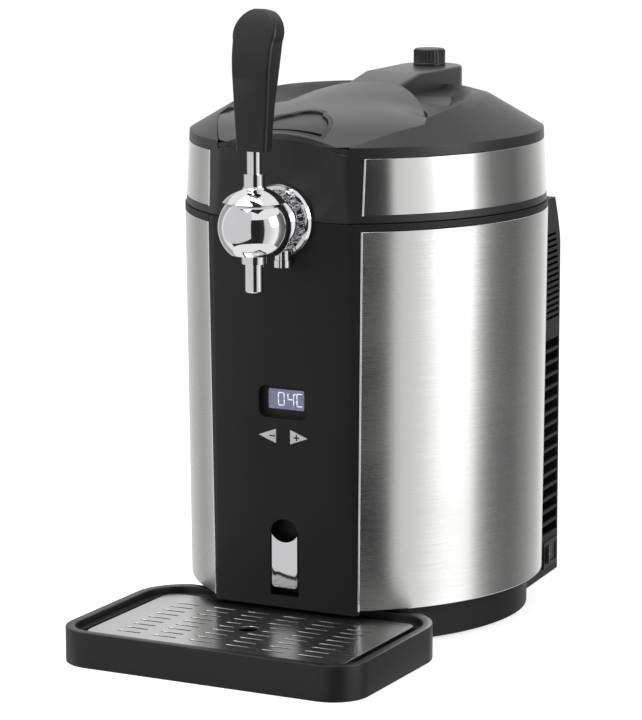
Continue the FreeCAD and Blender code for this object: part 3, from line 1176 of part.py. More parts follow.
def build_lid_shell():
    """Black lid shell: upright wall with band recesses, dome, finger channels and the hood's seat."""
    low = SEAM + SEAM_GAP / 2
    top = 2 * SEAM
    wall = lid_core(low, LID_RIM_TOP, 0)
    outer = wall.fuse(dome_outer())
    over_seat = hood_zone(0).cut(hood_solid(HOOD_THICKNESS + SNUG / 2))
    outer = outer.cut(over_seat).cut(channel_solid(0))
    outer = outer.cut(spine_plan(SNUG / 2, CHANNEL_TOP - WALL, top))
    room = lid_core(low - 1, LID_RIM_TOP - 3, WALL)
    inner_dome = dome_cone(WALL * 1.17, WALL, DOME_FLAT_Z - WALL)
    inner_dome = inner_dome.common(hood_solid(HOOD_THICKNESS + WALL).fuse(behind_hood()))
    wide = 2 * BODY_HALF_WIDTH
    inner_dome = inner_dome.common(block(-wide, wide, FACE_Y_TOP + WALL, wide, SEAM, top))
    room = room.fuse(inner_dome)
    room = room.cut(channel_solid(WALL)).cut(spine_plan(-WALL, CHANNEL_TOP - 2 * WALL, top))
    outer = outer.cut(room)
    outer = outer.cut(band_ring(BAND_SHEET + SNUG / 2, SNUG))
    outer = outer.cut(tap_notch(SHANK_RADIUS + 1.5, SEAM - 1, SEAM + 60))
    outer = outer.cut(latch_plan(0, LATCH_FLOOR_Z - LATCH_WALL - SNUG, top))
    neck_hole = Part.makeCylinder(REGULATOR_NECK + CLEAR, CHANNEL_TOP - LID_RIM_TOP + WALL,
                                  V(0, KNOB_Y, LID_RIM_TOP - WALL))
    outer = outer.cut(neck_hole)
    keep("lid_shell", outer)


def behind_hood():
    """Room behind the hood's rear edge, where the shell follows the channels instead."""
    wide = 2 * BODY_HALF_WIDTH
    return block(-wide, wide, HOOD_TIP_Y, wide, SEAM, 2 * SEAM).cut(hood_zone(WALL))


def band_ring(depth, grow):
    """Space of the steel bands on the lid's sides."""
    z0, z1 = LID_BAND_BOTTOM - grow / 2, LID_BAND_TOP + grow / 2
    ring = lid_core(z0, z1, 0).cut(lid_core(z0 - 1, z1 + 1, depth))
    ring = ring.cut(front_wedge(z0 - 1, z1 + 1, -grow / 2))
    half = LID_BAND_REAR_X - grow / 2
    return ring.cut(block(-half, half, 0, 2 * BODY_HALF_WIDTH, z0 - 1, z1 + 1))


def build_lid_bands():
    """Two stainless bands let into the lid's sides."""
    ring = band_ring(BAND_SHEET, 0)
    keep("lid_band_right", ring.common(half_space(1)))
    keep("lid_band_left", ring.common(half_space(-1)))


def spine_plan(grow, z0, z1):
    """Plan of the spine behind the hood: straight sides that widen a little, round at the back."""
    front = SPINE_FRONT_HALF_WIDTH + grow
    r = SPINE_REAR_RADIUS + grow
    y0, y1 = HOOD_REAR_Y - 2 * WALL, KNOB_Y
    edges = [line(V(-front, y0, z0), V(front, y0, z0)), line(V(front, y0, z0), V(r, y1, z0)),
             arc(V(r, y1, z0), V(0, y1 + r, z0), V(-r, y1, z0)), line(V(-r, y1, z0), V(-front, y0, z0))]
    return extrude(edges, V(0, 0, z1 - z0))


def build_lid_hood():
    """Hood and spine: one moulding over the shell, hollow under the spine."""
    top = 2 * SEAM
    slab = hood_solid(0).cut(hood_solid(HOOD_THICKNESS)).common(hood_zone(SNUG / 2))
    slab = slab.common(dome_cone(0, SNUG / 2, DOME_FLAT_Z + 3 * WALL)).common(before_front())
    seat = CHANNEL_TOP - WALL + SNUG / 2
    spine = spine_plan(0, LID_RIM_TOP + 2 * SNUG, top).common(spine_top_solid())
    wide = 2 * BODY_HALF_WIDTH
    footing = dome_outer().translated(V(0, 0, SNUG / 2)).common(block(-wide, wide, -wide, wide, 0, seat))
    crest = [e for e in spine.Edges if e.BoundBox.ZMin > DOME_FLAT_Z and abs(e.Vertexes[0].X) > 1
             and e.BoundBox.YMin > HOOD_REAR_Y - 2 * WALL - 0.1 and e.BoundBox.YLength > 1]
    spine = spine.makeFillet(SPINE_EDGE, crest).cut(footing)
    cavity = spine_plan(-WALL, seat - 1, top).common(spine_top_solid().translated(V(0, 0, -WALL)))
    cavity = cavity.common(block(-SPINE_REAR_RADIUS, SPINE_REAR_RADIUS, HOOD_REAR_Y + WALL, KNOB_Y - KNOB_RADIUS, 0, top))
    hood = slab.fuse(spine.cut(hood_zone(SNUG).cut(hood_solid(0)))).cut(cavity)
    hood = hood.cut(hood_solid(HOOD_THICKNESS).common(hood_zone(-1)))
    hood = hood.cut(latch_plan(0, SEAM, top))
    stem_hole = Part.makeCylinder(KNOB_STEM_RADIUS + RUNNING, SEAM, V(0, KNOB_Y, LID_RIM_TOP))
    keep("lid_hood", hood.cut(stem_hole))


def build_latch():
    """Latch: tub with its bezel let into the hood, the finger button in it and the leaf spring."""
    floor = LATCH_FLOOR_Z
    top = 2 * SEAM
    tub = latch_plan(SNUG / 2, floor - LATCH_WALL, top)
    tub = tub.cut(latch_plan(LATCH_BEZEL, floor, top))
    tub = tub.common(hood_solid(SNUG)).common(block(-SEAM, SEAM, -SEAM, SEAM, SEAM, top))
    guide = Part.makeCylinder(LATCH_GUIDE_RADIUS, LATCH_WALL + LATCH_GUIDE_HEIGHT,
                              V(0, LATCH_STEM_Y, floor - LATCH_WALL))
    hole = Part.makeCylinder(LATCH_STEM_RADIUS + RUNNING, SEAM, V(0, LATCH_STEM_Y, floor - SEAM / 2))
    keep("latch_tub", tub.fuse(guide).cut(hole))
    low = floor + LATCH_SPRING_LENGTH
    button = latch_plan(LATCH_BEZEL + CLEAR, low, top).common(hood_solid(LATCH_SINK))
    button = button.cut(block(-SEAM, SEAM, -SEAM, LATCH_LIP_Y, 0, top))
    well_top = floor + LATCH_GUIDE_HEIGHT + LATCH_TRAVEL + CLEAR
    counterbore = Part.makeCylinder(LATCH_GUIDE_RADIUS + CLEAR, max(well_top - low, 0) + 1,
                                    V(0, LATCH_STEM_Y, low - 1))
    stem_low = floor - LATCH_WALL - LATCH_TRAVEL
    stem = Part.makeCylinder(LATCH_STEM_RADIUS, low + 2 - stem_low, V(0, LATCH_STEM_Y, stem_low))
    keep("latch_button", button.cut(counterbore).fuse(stem))
    rise = LATCH_SPRING_LENGTH - 2 * SNUG
    half = LATCH_HALF_WIDTH * 0.4
    leaf = LATCH_LEAF
    base = floor + SNUG / 2
    outer = arc(V(-half, 0, base), V(0, 0, base + rise), V(half, 0, base))
    inner = arc(V(half - 2 * leaf, 0, base), V(0, 0, base + rise - leaf), V(-half + 2 * leaf, 0, base))
    strip = extrude([outer, line(V(half, 0, base), V(half - 2 * leaf, 0, base)), inner,
                     line(V(-half + 2 * leaf, 0, base), V(-half, 0, base))], V(0, LATCH_LEAF_WIDTH, 0))
    keep("latch_spring", strip.translated(V(0, LATCH_STEM_Y + LATCH_GUIDE_RADIUS + 2 * CLEAR, 0)))


def build_lid_inside():
    """Inner cover with its gasket, the pressure regulator, the gas cartridge and the knob."""
    z0 = SEAM + 2.8
    cover = lid_core(z0, z0 + WALL, WALL + SNUG)
    cover = cover.cut(Part.makeCylinder(LID_MOUTH_RADIUS, 40, V(0, 0, z0 - 10)))
    half = BRACKET_HALF_WIDTH + 6
    wide = 2 * BODY_HALF_WIDTH
    cover = cover.cut(block(-half, half, -wide, -WELL_RADIUS - 8, z0 - 10, z0 + 20))
    keep("lid_inner_cover", cover)
    groove = Part.makeCylinder(WELL_RADIUS + 12, z0 - SEAM - 0.1, V(0, 0, SEAM))
    gasket = groove.cut(Part.makeCylinder(WELL_RADIUS + 6, 10, V(0, 0, SEAM - 1)))
    gasket = gasket.cut(block(-half, half, -wide, -WELL_RADIUS / 2, SEAM - 5, SEAM + 20))
    keep("lid_gasket", gasket)
    block_top = LID_RIM_TOP - 2.0
    regulator = block(-17, 17, CARTRIDGE_Y - CARTRIDGE_RADIUS + 5, KNOB_Y + 13, z0 + WALL, block_top)
    neck = Part.makeCylinder(REGULATOR_NECK, POST_TOP - block_top, V(0, KNOB_Y, block_top))
    bore = Part.makeCylinder(KNOB_STEM_RADIUS + RUNNING, 60, V(0, KNOB_Y, block_top - 12))
    y, z = CARTRIDGE_Y, z0 + WALL + CARTRIDGE_RADIUS + 1.0
    socket = rod(CARTRIDGE_NECK + RUNNING, V(17.0 - CARTRIDGE_SEAT, y, z), V(18.0, y, z))
    keep("pressure_regulator", regulator.fuse(neck).cut(bore).cut(socket))
    profile = [(0, 0), (CARTRIDGE_NECK, 0), (CARTRIDGE_NECK, 9), (CARTRIDGE_RADIUS - 4, 12), (CARTRIDGE_RADIUS, 18),
               (CARTRIDGE_RADIUS, 80), (CARTRIDGE_RADIUS - 5, 87), (0, 88)]
    cartridge = turned(profile, V(0, 0, 0), "Z")
    cartridge.rotate(V(0, 0, 0), V(0, 1, 0), 90)
    keep("gas_cartridge", cartridge.translated(V(17.0 - CARTRIDGE_SEAT + SNUG, y, z)))
    clip_low = z0 + WALL
    clip = block(60, 70, y - CARTRIDGE_RADIUS - 2, y + CARTRIDGE_RADIUS + 2, clip_low, z + 4)
    clip = clip.cut(rod(CARTRIDGE_RADIUS + RUNNING, V(50, y, z), V(90, y, z)))
    keep("cartridge_clip", clip)
    knob_low = SPINE_TOP_Z + CLEAR
    knob = turned([(0, 0), (KNOB_RADIUS + 0.6, 0), (KNOB_RADIUS + 0.6, 1.4), (KNOB_RADIUS, 2.0),
                   (KNOB_RADIUS - 0.4, KNOB_HEIGHT - 0.6), (KNOB_RADIUS - 1.0, KNOB_HEIGHT), (0, KNOB_HEIGHT)],
                  V(0, KNOB_Y, knob_low), "Z")
    ribs = []
    for turn in range(KNOB_RIBS):
        rib = Part.makeCylinder(KNOB_RIB, KNOB_HEIGHT - 3.0, V(KNOB_RADIUS - KNOB_RIB / 2, KNOB_Y, knob_low + 2.0))
        rib.rotate(V(0, KNOB_Y, 0), V(0, 0, 1), 360.0 / KNOB_RIBS * turn)
        ribs.append(rib)
    stem_low = block_top - 10
    stem = Part.makeCylinder(KNOB_STEM_RADIUS, knob_low - stem_low + 1, V(0, KNOB_Y, stem_low))
    keep("pressure_knob", join([knob, stem] + ribs))


def build_hinge():
    """Hinge at the back: bracket on the body, leaf on the lid and the pin through both."""
    body_back = body_radius(WRAP_TOP)
    knuckles = []
    for x0 in (-HINGE_OUTER, HINGE_INNER + CLEAR):
        x1 = x0 + HINGE_OUTER - HINGE_INNER - CLEAR
        barrel = rod(HINGE_KNUCKLE, V(x0, HINGE_Y, HINGE_Z), V(x1, HINGE_Y, HINGE_Z))
        web = block(x0, x1, body_back - 10, HINGE_Y + HINGE_KNUCKLE, WRAP_TOP + 1.0, HINGE_Z)
        knuckles.append(barrel.fuse(web.cut(body_core(WRAP_TOP - 20, SEAM + 20, -SNUG / 2))))
    wide = 2 * BODY_HALF_WIDTH
    keep_out = block(-wide, wide, 0, LID_HALF_WIDTH_BOTTOM + 1.2, SEAM - SEAM_GAP / 2, 2 * SEAM)
    plate = block(-HINGE_OUTER, HINGE_OUTER, body_back - 10, HINGE_Y + HINGE_KNUCKLE,
                  WRAP_TOP - HINGE_PLATE_DROP, WRAP_TOP + 1.2)
    plate = plate.cut(body_core(WRAP_TOP - 2 * HINGE_PLATE_DROP, SEAM + 20, -SNUG / 2)).cut(cover_roof(-SNUG))
    bore = rod(HINGE_PIN_RADIUS, V(-HINGE_OUTER - 1, HINGE_Y, HINGE_Z), V(HINGE_OUTER + 1, HINGE_Y, HINGE_Z))
    bracket = join(knuckles + [plate]).cut(keep_out).cut(bore)
    keep("hinge_bracket", bracket)
    leaf = rod(HINGE_KNUCKLE, V(-HINGE_INNER, HINGE_Y, HINGE_Z), V(HINGE_INNER, HINGE_Y, HINGE_Z))
    leaf_front = LID_HALF_WIDTH_BOTTOM - 14.0
    tongue = block(-HINGE_INNER, HINGE_INNER, leaf_front, HINGE_Y, SEAM + SEAM_GAP, SEAM + 9.0)
    pad = block(-HINGE_INNER, HINGE_INNER, leaf_front, HINGE_Y - HINGE_KNUCKLE + 1, SEAM + 1.6,
                SEAM + HINGE_LEAF_HEIGHT)
    leaf = join([leaf, tongue, pad]).cut(lid_core(SEAM - 5, LID_RIM_TOP, -SNUG / 2))
    running = rod(HINGE_PIN_RADIUS + RUNNING, V(-HINGE_OUTER, HINGE_Y, HINGE_Z), V(HINGE_OUTER, HINGE_Y, HINGE_Z))
    keep("hinge_leaf", leaf.cut(running))
    keep("hinge_pin", rod(HINGE_PIN_RADIUS, V(-HINGE_OUTER - 1.5, HINGE_Y, HINGE_Z),
                          V(HINGE_OUTER + 1.5, HINGE_Y, HINGE_Z)))


# ---------------------------------------------------------------------------------------------
# Build and write
# ---------------------------------------------------------------------------------------------
def main():
    """Build every piece and write one STEP file for each."""
    build_foot()
    build_wrap()
    build_front_panel()
    build_drain()
    build_well()
    build_body_ring()
    build_rear_cover()
    build_switch()
    build_inlet()
    build_cooling()
    build_controls()
    build_tap()
    build_lever()
    build_tray()
    build_grid()
    build_lid_shell()
    build_lid_bands()
    build_lid_hood()
    build_latch()
    build_lid_inside()
    build_hinge()
    os.makedirs("parts", exist_ok=True)
    for name, shape in PIECES.items():
        moved = shape.translated(V(0, FRAME_SHIFT, 0))
        moved.exportStep("parts/" + name + ".step")


main()
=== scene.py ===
"""Mini keg beer dispenser: finishes, detailed pieces, studio and camera.

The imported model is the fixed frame. Classes stand for the dispenser's sub-assemblies; each one
dresses the frame's own nodes, or builds a finer piece that stands for a node and rides on its body.
"""

import json
import logging
import math
from dataclasses import dataclass
from enum import Enum
from typing import Dict, List, Optional, Sequence, Tuple

import bmesh
import bpy
from mathutils import Matrix, Vector
from mathutils.bvhtree import BVHTree


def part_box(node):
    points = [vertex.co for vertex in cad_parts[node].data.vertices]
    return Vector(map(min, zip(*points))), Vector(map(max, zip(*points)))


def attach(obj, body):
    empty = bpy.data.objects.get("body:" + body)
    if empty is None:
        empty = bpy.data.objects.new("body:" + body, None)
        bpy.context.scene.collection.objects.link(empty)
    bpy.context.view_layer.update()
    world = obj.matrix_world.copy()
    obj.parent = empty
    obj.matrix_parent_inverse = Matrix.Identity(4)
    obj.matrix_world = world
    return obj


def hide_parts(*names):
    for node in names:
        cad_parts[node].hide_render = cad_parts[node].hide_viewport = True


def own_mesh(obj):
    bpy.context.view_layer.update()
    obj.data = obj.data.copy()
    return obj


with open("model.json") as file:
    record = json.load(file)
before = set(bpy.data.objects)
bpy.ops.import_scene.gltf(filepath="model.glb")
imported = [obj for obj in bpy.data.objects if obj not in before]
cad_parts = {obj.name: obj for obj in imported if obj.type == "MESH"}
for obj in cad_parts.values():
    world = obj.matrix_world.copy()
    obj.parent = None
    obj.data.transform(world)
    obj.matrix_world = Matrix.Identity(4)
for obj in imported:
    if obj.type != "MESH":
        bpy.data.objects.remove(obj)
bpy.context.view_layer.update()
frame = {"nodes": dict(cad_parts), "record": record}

logging.basicConfig(level=logging.INFO, format="%(message)s")
LOG = logging.getLogger("dispenser")

MM = 0.001
KEG_AXIS_Y = 54.3       # the keg's axis lies this far behind the frame's origin, in mm
CLOUD_PER_METRE = 14.0  # how fine the broad clouds in every finish are
NOISE_SPAN = (0.7, 1.3)     # the fine and the broad noise add up to values between these
BUMP_STRENGTH = 0.6
QUARTER_TURN = 0.25     # turns the smear of a brushed surface across its scratches
FLAT_ANGLE = 0.5        # faces that meet at less than this, in degrees, are joined before a bevel
SHARP_ANGLE = 40.0      # edges sharper than this, in degrees, get a bevel
OUTSIDE = 0.05          # search lines start this far outside a piece, in metres
UP = Vector((0, 0, 1))
FORWARD = Vector((0, -1, 0))
Point = Tuple[float, float, float]
Pair = Tuple[float, float]


# Colours and shader nodes


def linear(hex_code: str) -> Tuple[float, float, float, float]:
    """Turn an sRGB hex colour into linear values.

    Args:
        hex_code: six hex digits, with or without a leading hash.

    Returns:
        Red, green and blue, linear, and an alpha of one.
    """
    digits = hex_code.lstrip("#")
    values = []
    for start in (0, 2, 4):
        value = int(digits[start:start + 2], 16) / 255.0
        values.append(value / 12.92 if value <= 0.04045 else ((value + 0.055) / 1.055) ** 2.4)
    return values[0], values[1], values[2], 1.0


def add_node(tree: bpy.types.NodeTree, kind: str, links: Optional[Dict[object, object]] = None,
             values: Optional[Dict[object, object]] = None, **settings: object) -> bpy.types.Node:
    """Add one shader node with its settings, input values and incoming links.

    Args:
        tree: the node tree.
        kind: Blender's node type name.
        links: input name or index to the output socket that feeds it.
        values: input name or index to a plain value.
        settings: attributes of the node itself.

    Returns:
        The new node.
    """
    node = tree.nodes.new(kind)
    for name, value in settings.items():
        setattr(node, name, value)
    for name, value in (values or {}).items():
        node.inputs[name].default_value = value
    for name, socket in (links or {}).items():
        tree.links.new(socket, node.inputs[name])
    return node


def blank_material(name: str) -> bpy.types.Material:
    """Make a material whose node tree is empty.

    Args:
        name: the material's name.

    Returns:
        The new material.
    """
    made = bpy.data.materials.new(name)
    made.use_nodes = True
    made.node_tree.nodes.clear()
    return made


class Pattern(Enum):
    """Surface patterns, as how much finer they are along X, Y and Z."""

    EVEN = (1.0, 1.0, 1.0)
    BRUSHED_AROUND = (0.012, 0.012, 1.0)
    BRUSHED_ACROSS = (0.012, 1.0, 1.0)
    FLOWED_UP = (1.0, 1.0, 0.15)


@dataclass(frozen=True)
class Finish:
    """One real material, turned into a Principled shader with its surface pattern."""

    name: str
    colour: str
    roughness: float
    metallic: float = 0.0
    ior: float = 1.5
    pattern: Pattern = Pattern.EVEN
    scale_mm: float = 1.0
    depth_mm: float = 0.01
    variation: float = 0.06
    anisotropic: float = 0.0
    transmission: float = 0.0
    emission: str = ""
    emission_strength: float = 0.0
    edge_mm: float = 0.0

    def material(self) -> bpy.types.Material:
        """Make the material, or find it when it exists.

        Returns:
            The material.
        """
        found = bpy.data.materials.get(self.name)
        if found:
            return found
        made = blank_material(self.name)
        tree = made.node_tree
        values = {"Metallic": self.metallic, "Anisotropic": self.anisotropic,
                  "Transmission Weight": self.transmission}
        if self.metallic == 0:
            values["IOR"] = self.ior
        if self.emission:
            values.update({"Emission Color": linear(self.emission),
                           "Emission Strength": self.emission_strength})
        shader = add_node(tree, "ShaderNodeBsdfPrincipled", values=values)
        add_node(tree, "ShaderNodeOutputMaterial", {"Surface": shader.outputs["BSDF"]})
        self._surface(tree, shader)
        made.diffuse_color = linear(self.colour)
        return made

    def _surface(self, tree: bpy.types.NodeTree, shader: bpy.types.Node) -> None:
        """Add the surface pattern: tone and roughness that vary, a bump, and rounded edges.

        Args:
            tree: the material's nodes.
            shader: its Principled shader.
        """
        plain = linear(self.colour)
        if self.variation == 0:
            shader.inputs["Base Color"].default_value = plain
            shader.inputs["Roughness"].default_value = self.roughness
            return
        place = add_node(tree, "ShaderNodeTexCoord")
        finest = 1.0 / (self.scale_mm * MM)
        fine = tuple(finest * share for share in self.pattern.value)
        mapping = add_node(tree, "ShaderNodeMapping", {"Vector": place.outputs["Object"]}, {"Scale": fine})
        noise = add_node(tree, "ShaderNodeTexNoise", {"Vector": mapping.outputs["Vector"]},
                         {"Scale": 1.0, "Detail": 3.0, "Roughness": 0.6})
        cloud = add_node(tree, "ShaderNodeTexNoise", {"Vector": place.outputs["Object"]},
                         {"Scale": CLOUD_PER_METRE, "Detail": 2.0})
        mixed = add_node(tree, "ShaderNodeMath", {0: noise.outputs["Fac"], 1: cloud.outputs["Fac"]},
                         operation="ADD")
        low = max(0.02, self.roughness - self.variation)
        high = min(1.0, self.roughness + self.variation)
        spread = add_node(tree, "ShaderNodeMapRange", {"Value": mixed.outputs[0]},
                          {"From Min": NOISE_SPAN[0], "From Max": NOISE_SPAN[1], "To Min": low,
                           "To Max": high})
        tree.links.new(spread.outputs["Result"], shader.inputs["Roughness"])
        dark = [c * (1.0 - self.variation) for c in plain[:3]] + [1.0]
        light = [min(1.0, c * (1.0 + self.variation)) for c in plain[:3]] + [1.0]
        tone = add_node(tree, "ShaderNodeMix", {"Factor": noise.outputs["Fac"]}, data_type="RGBA")
        tone.inputs[6].default_value = dark
        tone.inputs[7].default_value = light
        tree.links.new(tone.outputs[2], shader.inputs["Base Color"])
        normal = None
        if self.edge_mm > 0:
            rounded = add_node(tree, "ShaderNodeBevel", values={"Radius": self.edge_mm * MM}, samples=6)
            normal = rounded.outputs["Normal"]
        if self.depth_mm > 0:
            feed = {"Height": noise.outputs["Fac"]}
            if normal is not None:
                feed["Normal"] = normal
            bump = add_node(tree, "ShaderNodeBump", feed,
                            {"Distance": self.depth_mm * MM, "Strength": BUMP_STRENGTH})
            normal = bump.outputs["Normal"]
        if normal is not None:
            tree.links.new(normal, shader.inputs["Normal"])
        if self.anisotropic > 0:
            around = add_node(tree, "ShaderNodeTangent", direction_type="RADIAL", axis="Z")
            tree.links.new(around.outputs["Tangent"], shader.inputs["Tangent"])
            shader.inputs["Anisotropic Rotation"].default_value = QUARTER_TURN


class Finishes:
    """Every finish of the dispenser, named for what it is."""

    # Injection-moulded ABS with a fine spark texture: dull, nearly black, with a soft even sheen.
    PANEL = Finish("abs_black_spark_textured", "#111112", 0.5, ior=1.36, scale_mm=0.6, depth_mm=0.012,
                   edge_mm=0.7)
    # The lid is moulded in a smoother tool, so the light above lies on it as a broad sheen.
    LID = Finish("abs_black_satin", "#1f1f20", 0.38, ior=1.42, scale_mm=0.5, depth_mm=0.006, edge_mm=0.9)
    # Black ABS of the shell's moulding, with a base colour a shade paler than the shell as a painted sheen
    # for the light above, and satin steps at its creases.
    HOOD_PAINTED_SHEEN = Finish("abs_black_satin_hood_painted_sheen", "#303031", 0.34, scale_mm=0.5, depth_mm=0.006, edge_mm=1.3)
    TRAY = Finish("abs_tray_satin", "#1a1a1b", 0.36, ior=1.4, scale_mm=0.6, depth_mm=0.008, edge_mm=1.0)
    # Stainless sheet linished round the body: level scratches that smear lights up and down.
    WRAP = Finish("stainless_linished", "#dededc", 0.27, metallic=1.0, pattern=Pattern.BRUSHED_AROUND,
                  scale_mm=0.45, depth_mm=0.003, variation=0.04, anisotropic=0.8)
    # The lid's bands have a finer grind, so the same lights end more sharply on them.
    BAND = Finish("stainless_band_fine_ground", "#e6e6e4", 0.18, metallic=1.0,
                  pattern=Pattern.BRUSHED_AROUND, scale_mm=0.4, depth_mm=0.002, variation=0.03,
                  anisotropic=0.6)
    # The sheared and deburred edge of that sheet: a thin mirror-bright line.
    SHEET_EDGE = Finish("stainless_deburred_edge", "#f2f2f0", 0.18, metallic=1.0, depth_mm=0.0)
    GRID = Finish("stainless_plate_brushed", "#bcbcbb", 0.24, metallic=1.0, pattern=Pattern.BRUSHED_ACROSS,
                  scale_mm=0.5, depth_mm=0.002, variation=0.04)
    # Polished chrome over brass: a mirror with the faint waviness of plating.
    CHROME = Finish("chrome_plated_brass", "#e2e2e4", 0.05, metallic=1.0, scale_mm=9.0, variation=0.015)
    STEEL = Finish("steel_zinc_plated", "#a9aaac", 0.35, metallic=1.0, scale_mm=4.0)
    HANDLE = Finish("abs_handle_satin", "#161617", 0.42, ior=1.42, scale_mm=0.7)
    # Silver-painted key: a pale grey with a fine metal flake.
    KEY = Finish("key_silver_paint", "#c4c4c4", 0.42, scale_mm=0.3, depth_mm=0.004)
    KNOB = Finish("nylon_black_moulded", "#1a1a1a", 0.45, scale_mm=0.4, edge_mm=0.3)
    RUBBER = Finish("rubber_black_moulded", "#1b1b1b", 0.75, scale_mm=0.8, depth_mm=0.03)
    SILICONE = Finish("silicone_grey", "#77787a", 0.6)
    # Rigid polyurethane foam poured in place: cream, matt, with small open cells.
    FOAM = Finish("polyurethane_foam", "#bdb9a8", 0.85, scale_mm=1.5, depth_mm=0.15)
    WELL = Finish("aluminium_deep_drawn", "#d3d5d7", 0.33, metallic=1.0, pattern=Pattern.BRUSHED_AROUND,
                  scale_mm=0.6, depth_mm=0.004)
    FINS = Finish("aluminium_extruded", "#c4c6c8", 0.4, metallic=1.0, pattern=Pattern.FLOWED_UP,
                  scale_mm=1.5)
    BRASS = Finish("brass_turned", "#b5985a", 0.3, metallic=1.0, scale_mm=0.6, depth_mm=0.005)
    CERAMIC = Finish("alumina_ceramic", "#ecebe6", 0.5)
    BOARD = Finish("epoxy_board_green", "#1d5a38", 0.4, scale_mm=2.0)
    CHIP = Finish("epoxy_chip_black", "#131313", 0.55, scale_mm=0.4)
    WINDOW = Finish("polycarbonate_window", "#f4f5ff", 0.05, ior=1.58, transmission=0.95, variation=0.0)
    # Backlit display: a blue-grey field with pale segments that glow a little.
    BACKLIGHT = Finish("display_backlight", "#3d4064", 0.4, scale_mm=6.0, depth_mm=0.0,
                       emission="#54587f", emission_strength=0.35)
    SEGMENT = Finish("display_segments", "#dfe4ff", 0.4, variation=0.0,
                     emission="#e9ecff", emission_strength=0.9)
    INK = Finish("pad_print_black", "#141414", 0.5, scale_mm=0.5, depth_mm=0.002)
    PALE_INK = Finish("pad_print_grey", "#b4b4b4", 0.5, scale_mm=0.5, depth_mm=0.002)
    TUBE = Finish("silicone_tube", "#dcdcd6", 0.3, ior=1.45, transmission=0.5, scale_mm=2.0, depth_mm=0.0)


# Mesh tools


def verts_of(made: Dict[str, list]) -> List[bmesh.types.BMVert]:
    """Vertices among the geometry that an operator made."""
    return [g for g in made["geom"] if isinstance(g, bmesh.types.BMVert)]


def edges_between(made: Dict[str, list], verts: List[bmesh.types.BMVert]) -> List[bmesh.types.BMEdge]:
    """Edges among the geometry that an operator made, with both ends in the given vertices."""
    edges = [g for g in made["geom"] if isinstance(g, bmesh.types.BMEdge)]
    return [e for e in edges if all(v in verts for v in e.verts)]


def facing(way: Vector) -> Matrix:
    """Turn that brings Z to a direction."""
    return way.to_track_quat("Z", "Y").to_matrix().to_4x4()


def body_of(node: str) -> str:
    """Name of the body that a frame node moves with."""
    return next(b for b, nodes in frame["record"]["behaviour"]["bodies"].items() if node in nodes)


def middle_of(node: str) -> Vector:
    """Middle of a frame node's box."""
    low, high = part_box(node)
    return (Vector(low) + Vector(high)) / 2


def land(node: str, start: Vector, way: Vector) -> Tuple[Vector, Vector]:
    """Find where a line meets a frame node.

    Args:
        node: the frame node.
        start: a point outside it, in metres.
        way: the direction to go.

    Returns:
        The point on its surface and the surface's outward direction.
    """
    mesh = bmesh.new()
    mesh.from_mesh(frame["nodes"][node].data)
    tree = BVHTree.FromBMesh(mesh)
    spot, normal, _, _ = tree.ray_cast(start, way.normalized())
    mesh.free()
    if spot is None:
        raise ValueError("nothing of %s lies that way" % node)
    return spot, normal


def ring_points(count: int, radius_mm: float, height: float, first: float = 0.0) -> List[Vector]:
    """Points on a level ring about the keg's axis.

    Args:
        count: how many points.
        radius_mm: radius of the ring.
        height: height of the ring, in metres.
        first: direction of the first point, in degrees from the back.

    Returns:
        The points, in metres.
    """
    angles = [math.radians(first + 360.0 / count * turn) for turn in range(count)]
    return [Vector((radius_mm * MM * math.sin(a), KEG_AXIS_Y * MM + radius_mm * MM * math.cos(a), height))
            for a in angles]


def register(mesh: bmesh.types.BMesh, name: str, finish: Finish, node: str,
             stands_for: Sequence[str] = (), smooth: float = 35.0) -> bpy.types.Object:
    """Turn a bmesh into a piece that rides on a body.

    Args:
        mesh: the shape, in metres, in the row's frame; it is freed here.
        name: the piece's name.
        finish: what it is made of.
        node: the frame node whose body it moves with.
        stands_for: frame nodes that it replaces.
        smooth: edges flatter than this angle, in degrees, are shaded smooth.

    Returns:
        The new object.
    """
    for face in mesh.faces:
        face.smooth = True
    limit = math.radians(smooth)
    for edge in mesh.edges:
        edge.smooth = len(edge.link_faces) == 2 and edge.calc_face_angle(0.0) < limit
    data = bpy.data.meshes.new(name)
    mesh.to_mesh(data)
    mesh.free()
    data.materials.append(finish.material())
    thing = bpy.data.objects.new(name, data)
    bpy.context.scene.collection.objects.link(thing)
    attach(thing, body_of(node))
    if stands_for:
        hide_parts(*stands_for)
    LOG.info("%s: %d faces, %s", name, len(data.polygons), finish.name)
    return thing


def copy_node(node: str) -> bmesh.types.BMesh:
    """Copy a frame node's mesh and merge its doubled vertices.

    Args:
        node: the frame node.

    Returns:
        The copy.
    """
    mesh = bmesh.new()
    mesh.from_mesh(frame["nodes"][node].data)
    bmesh.ops.remove_doubles(mesh, verts=mesh.verts, dist=1e-6)
    return mesh


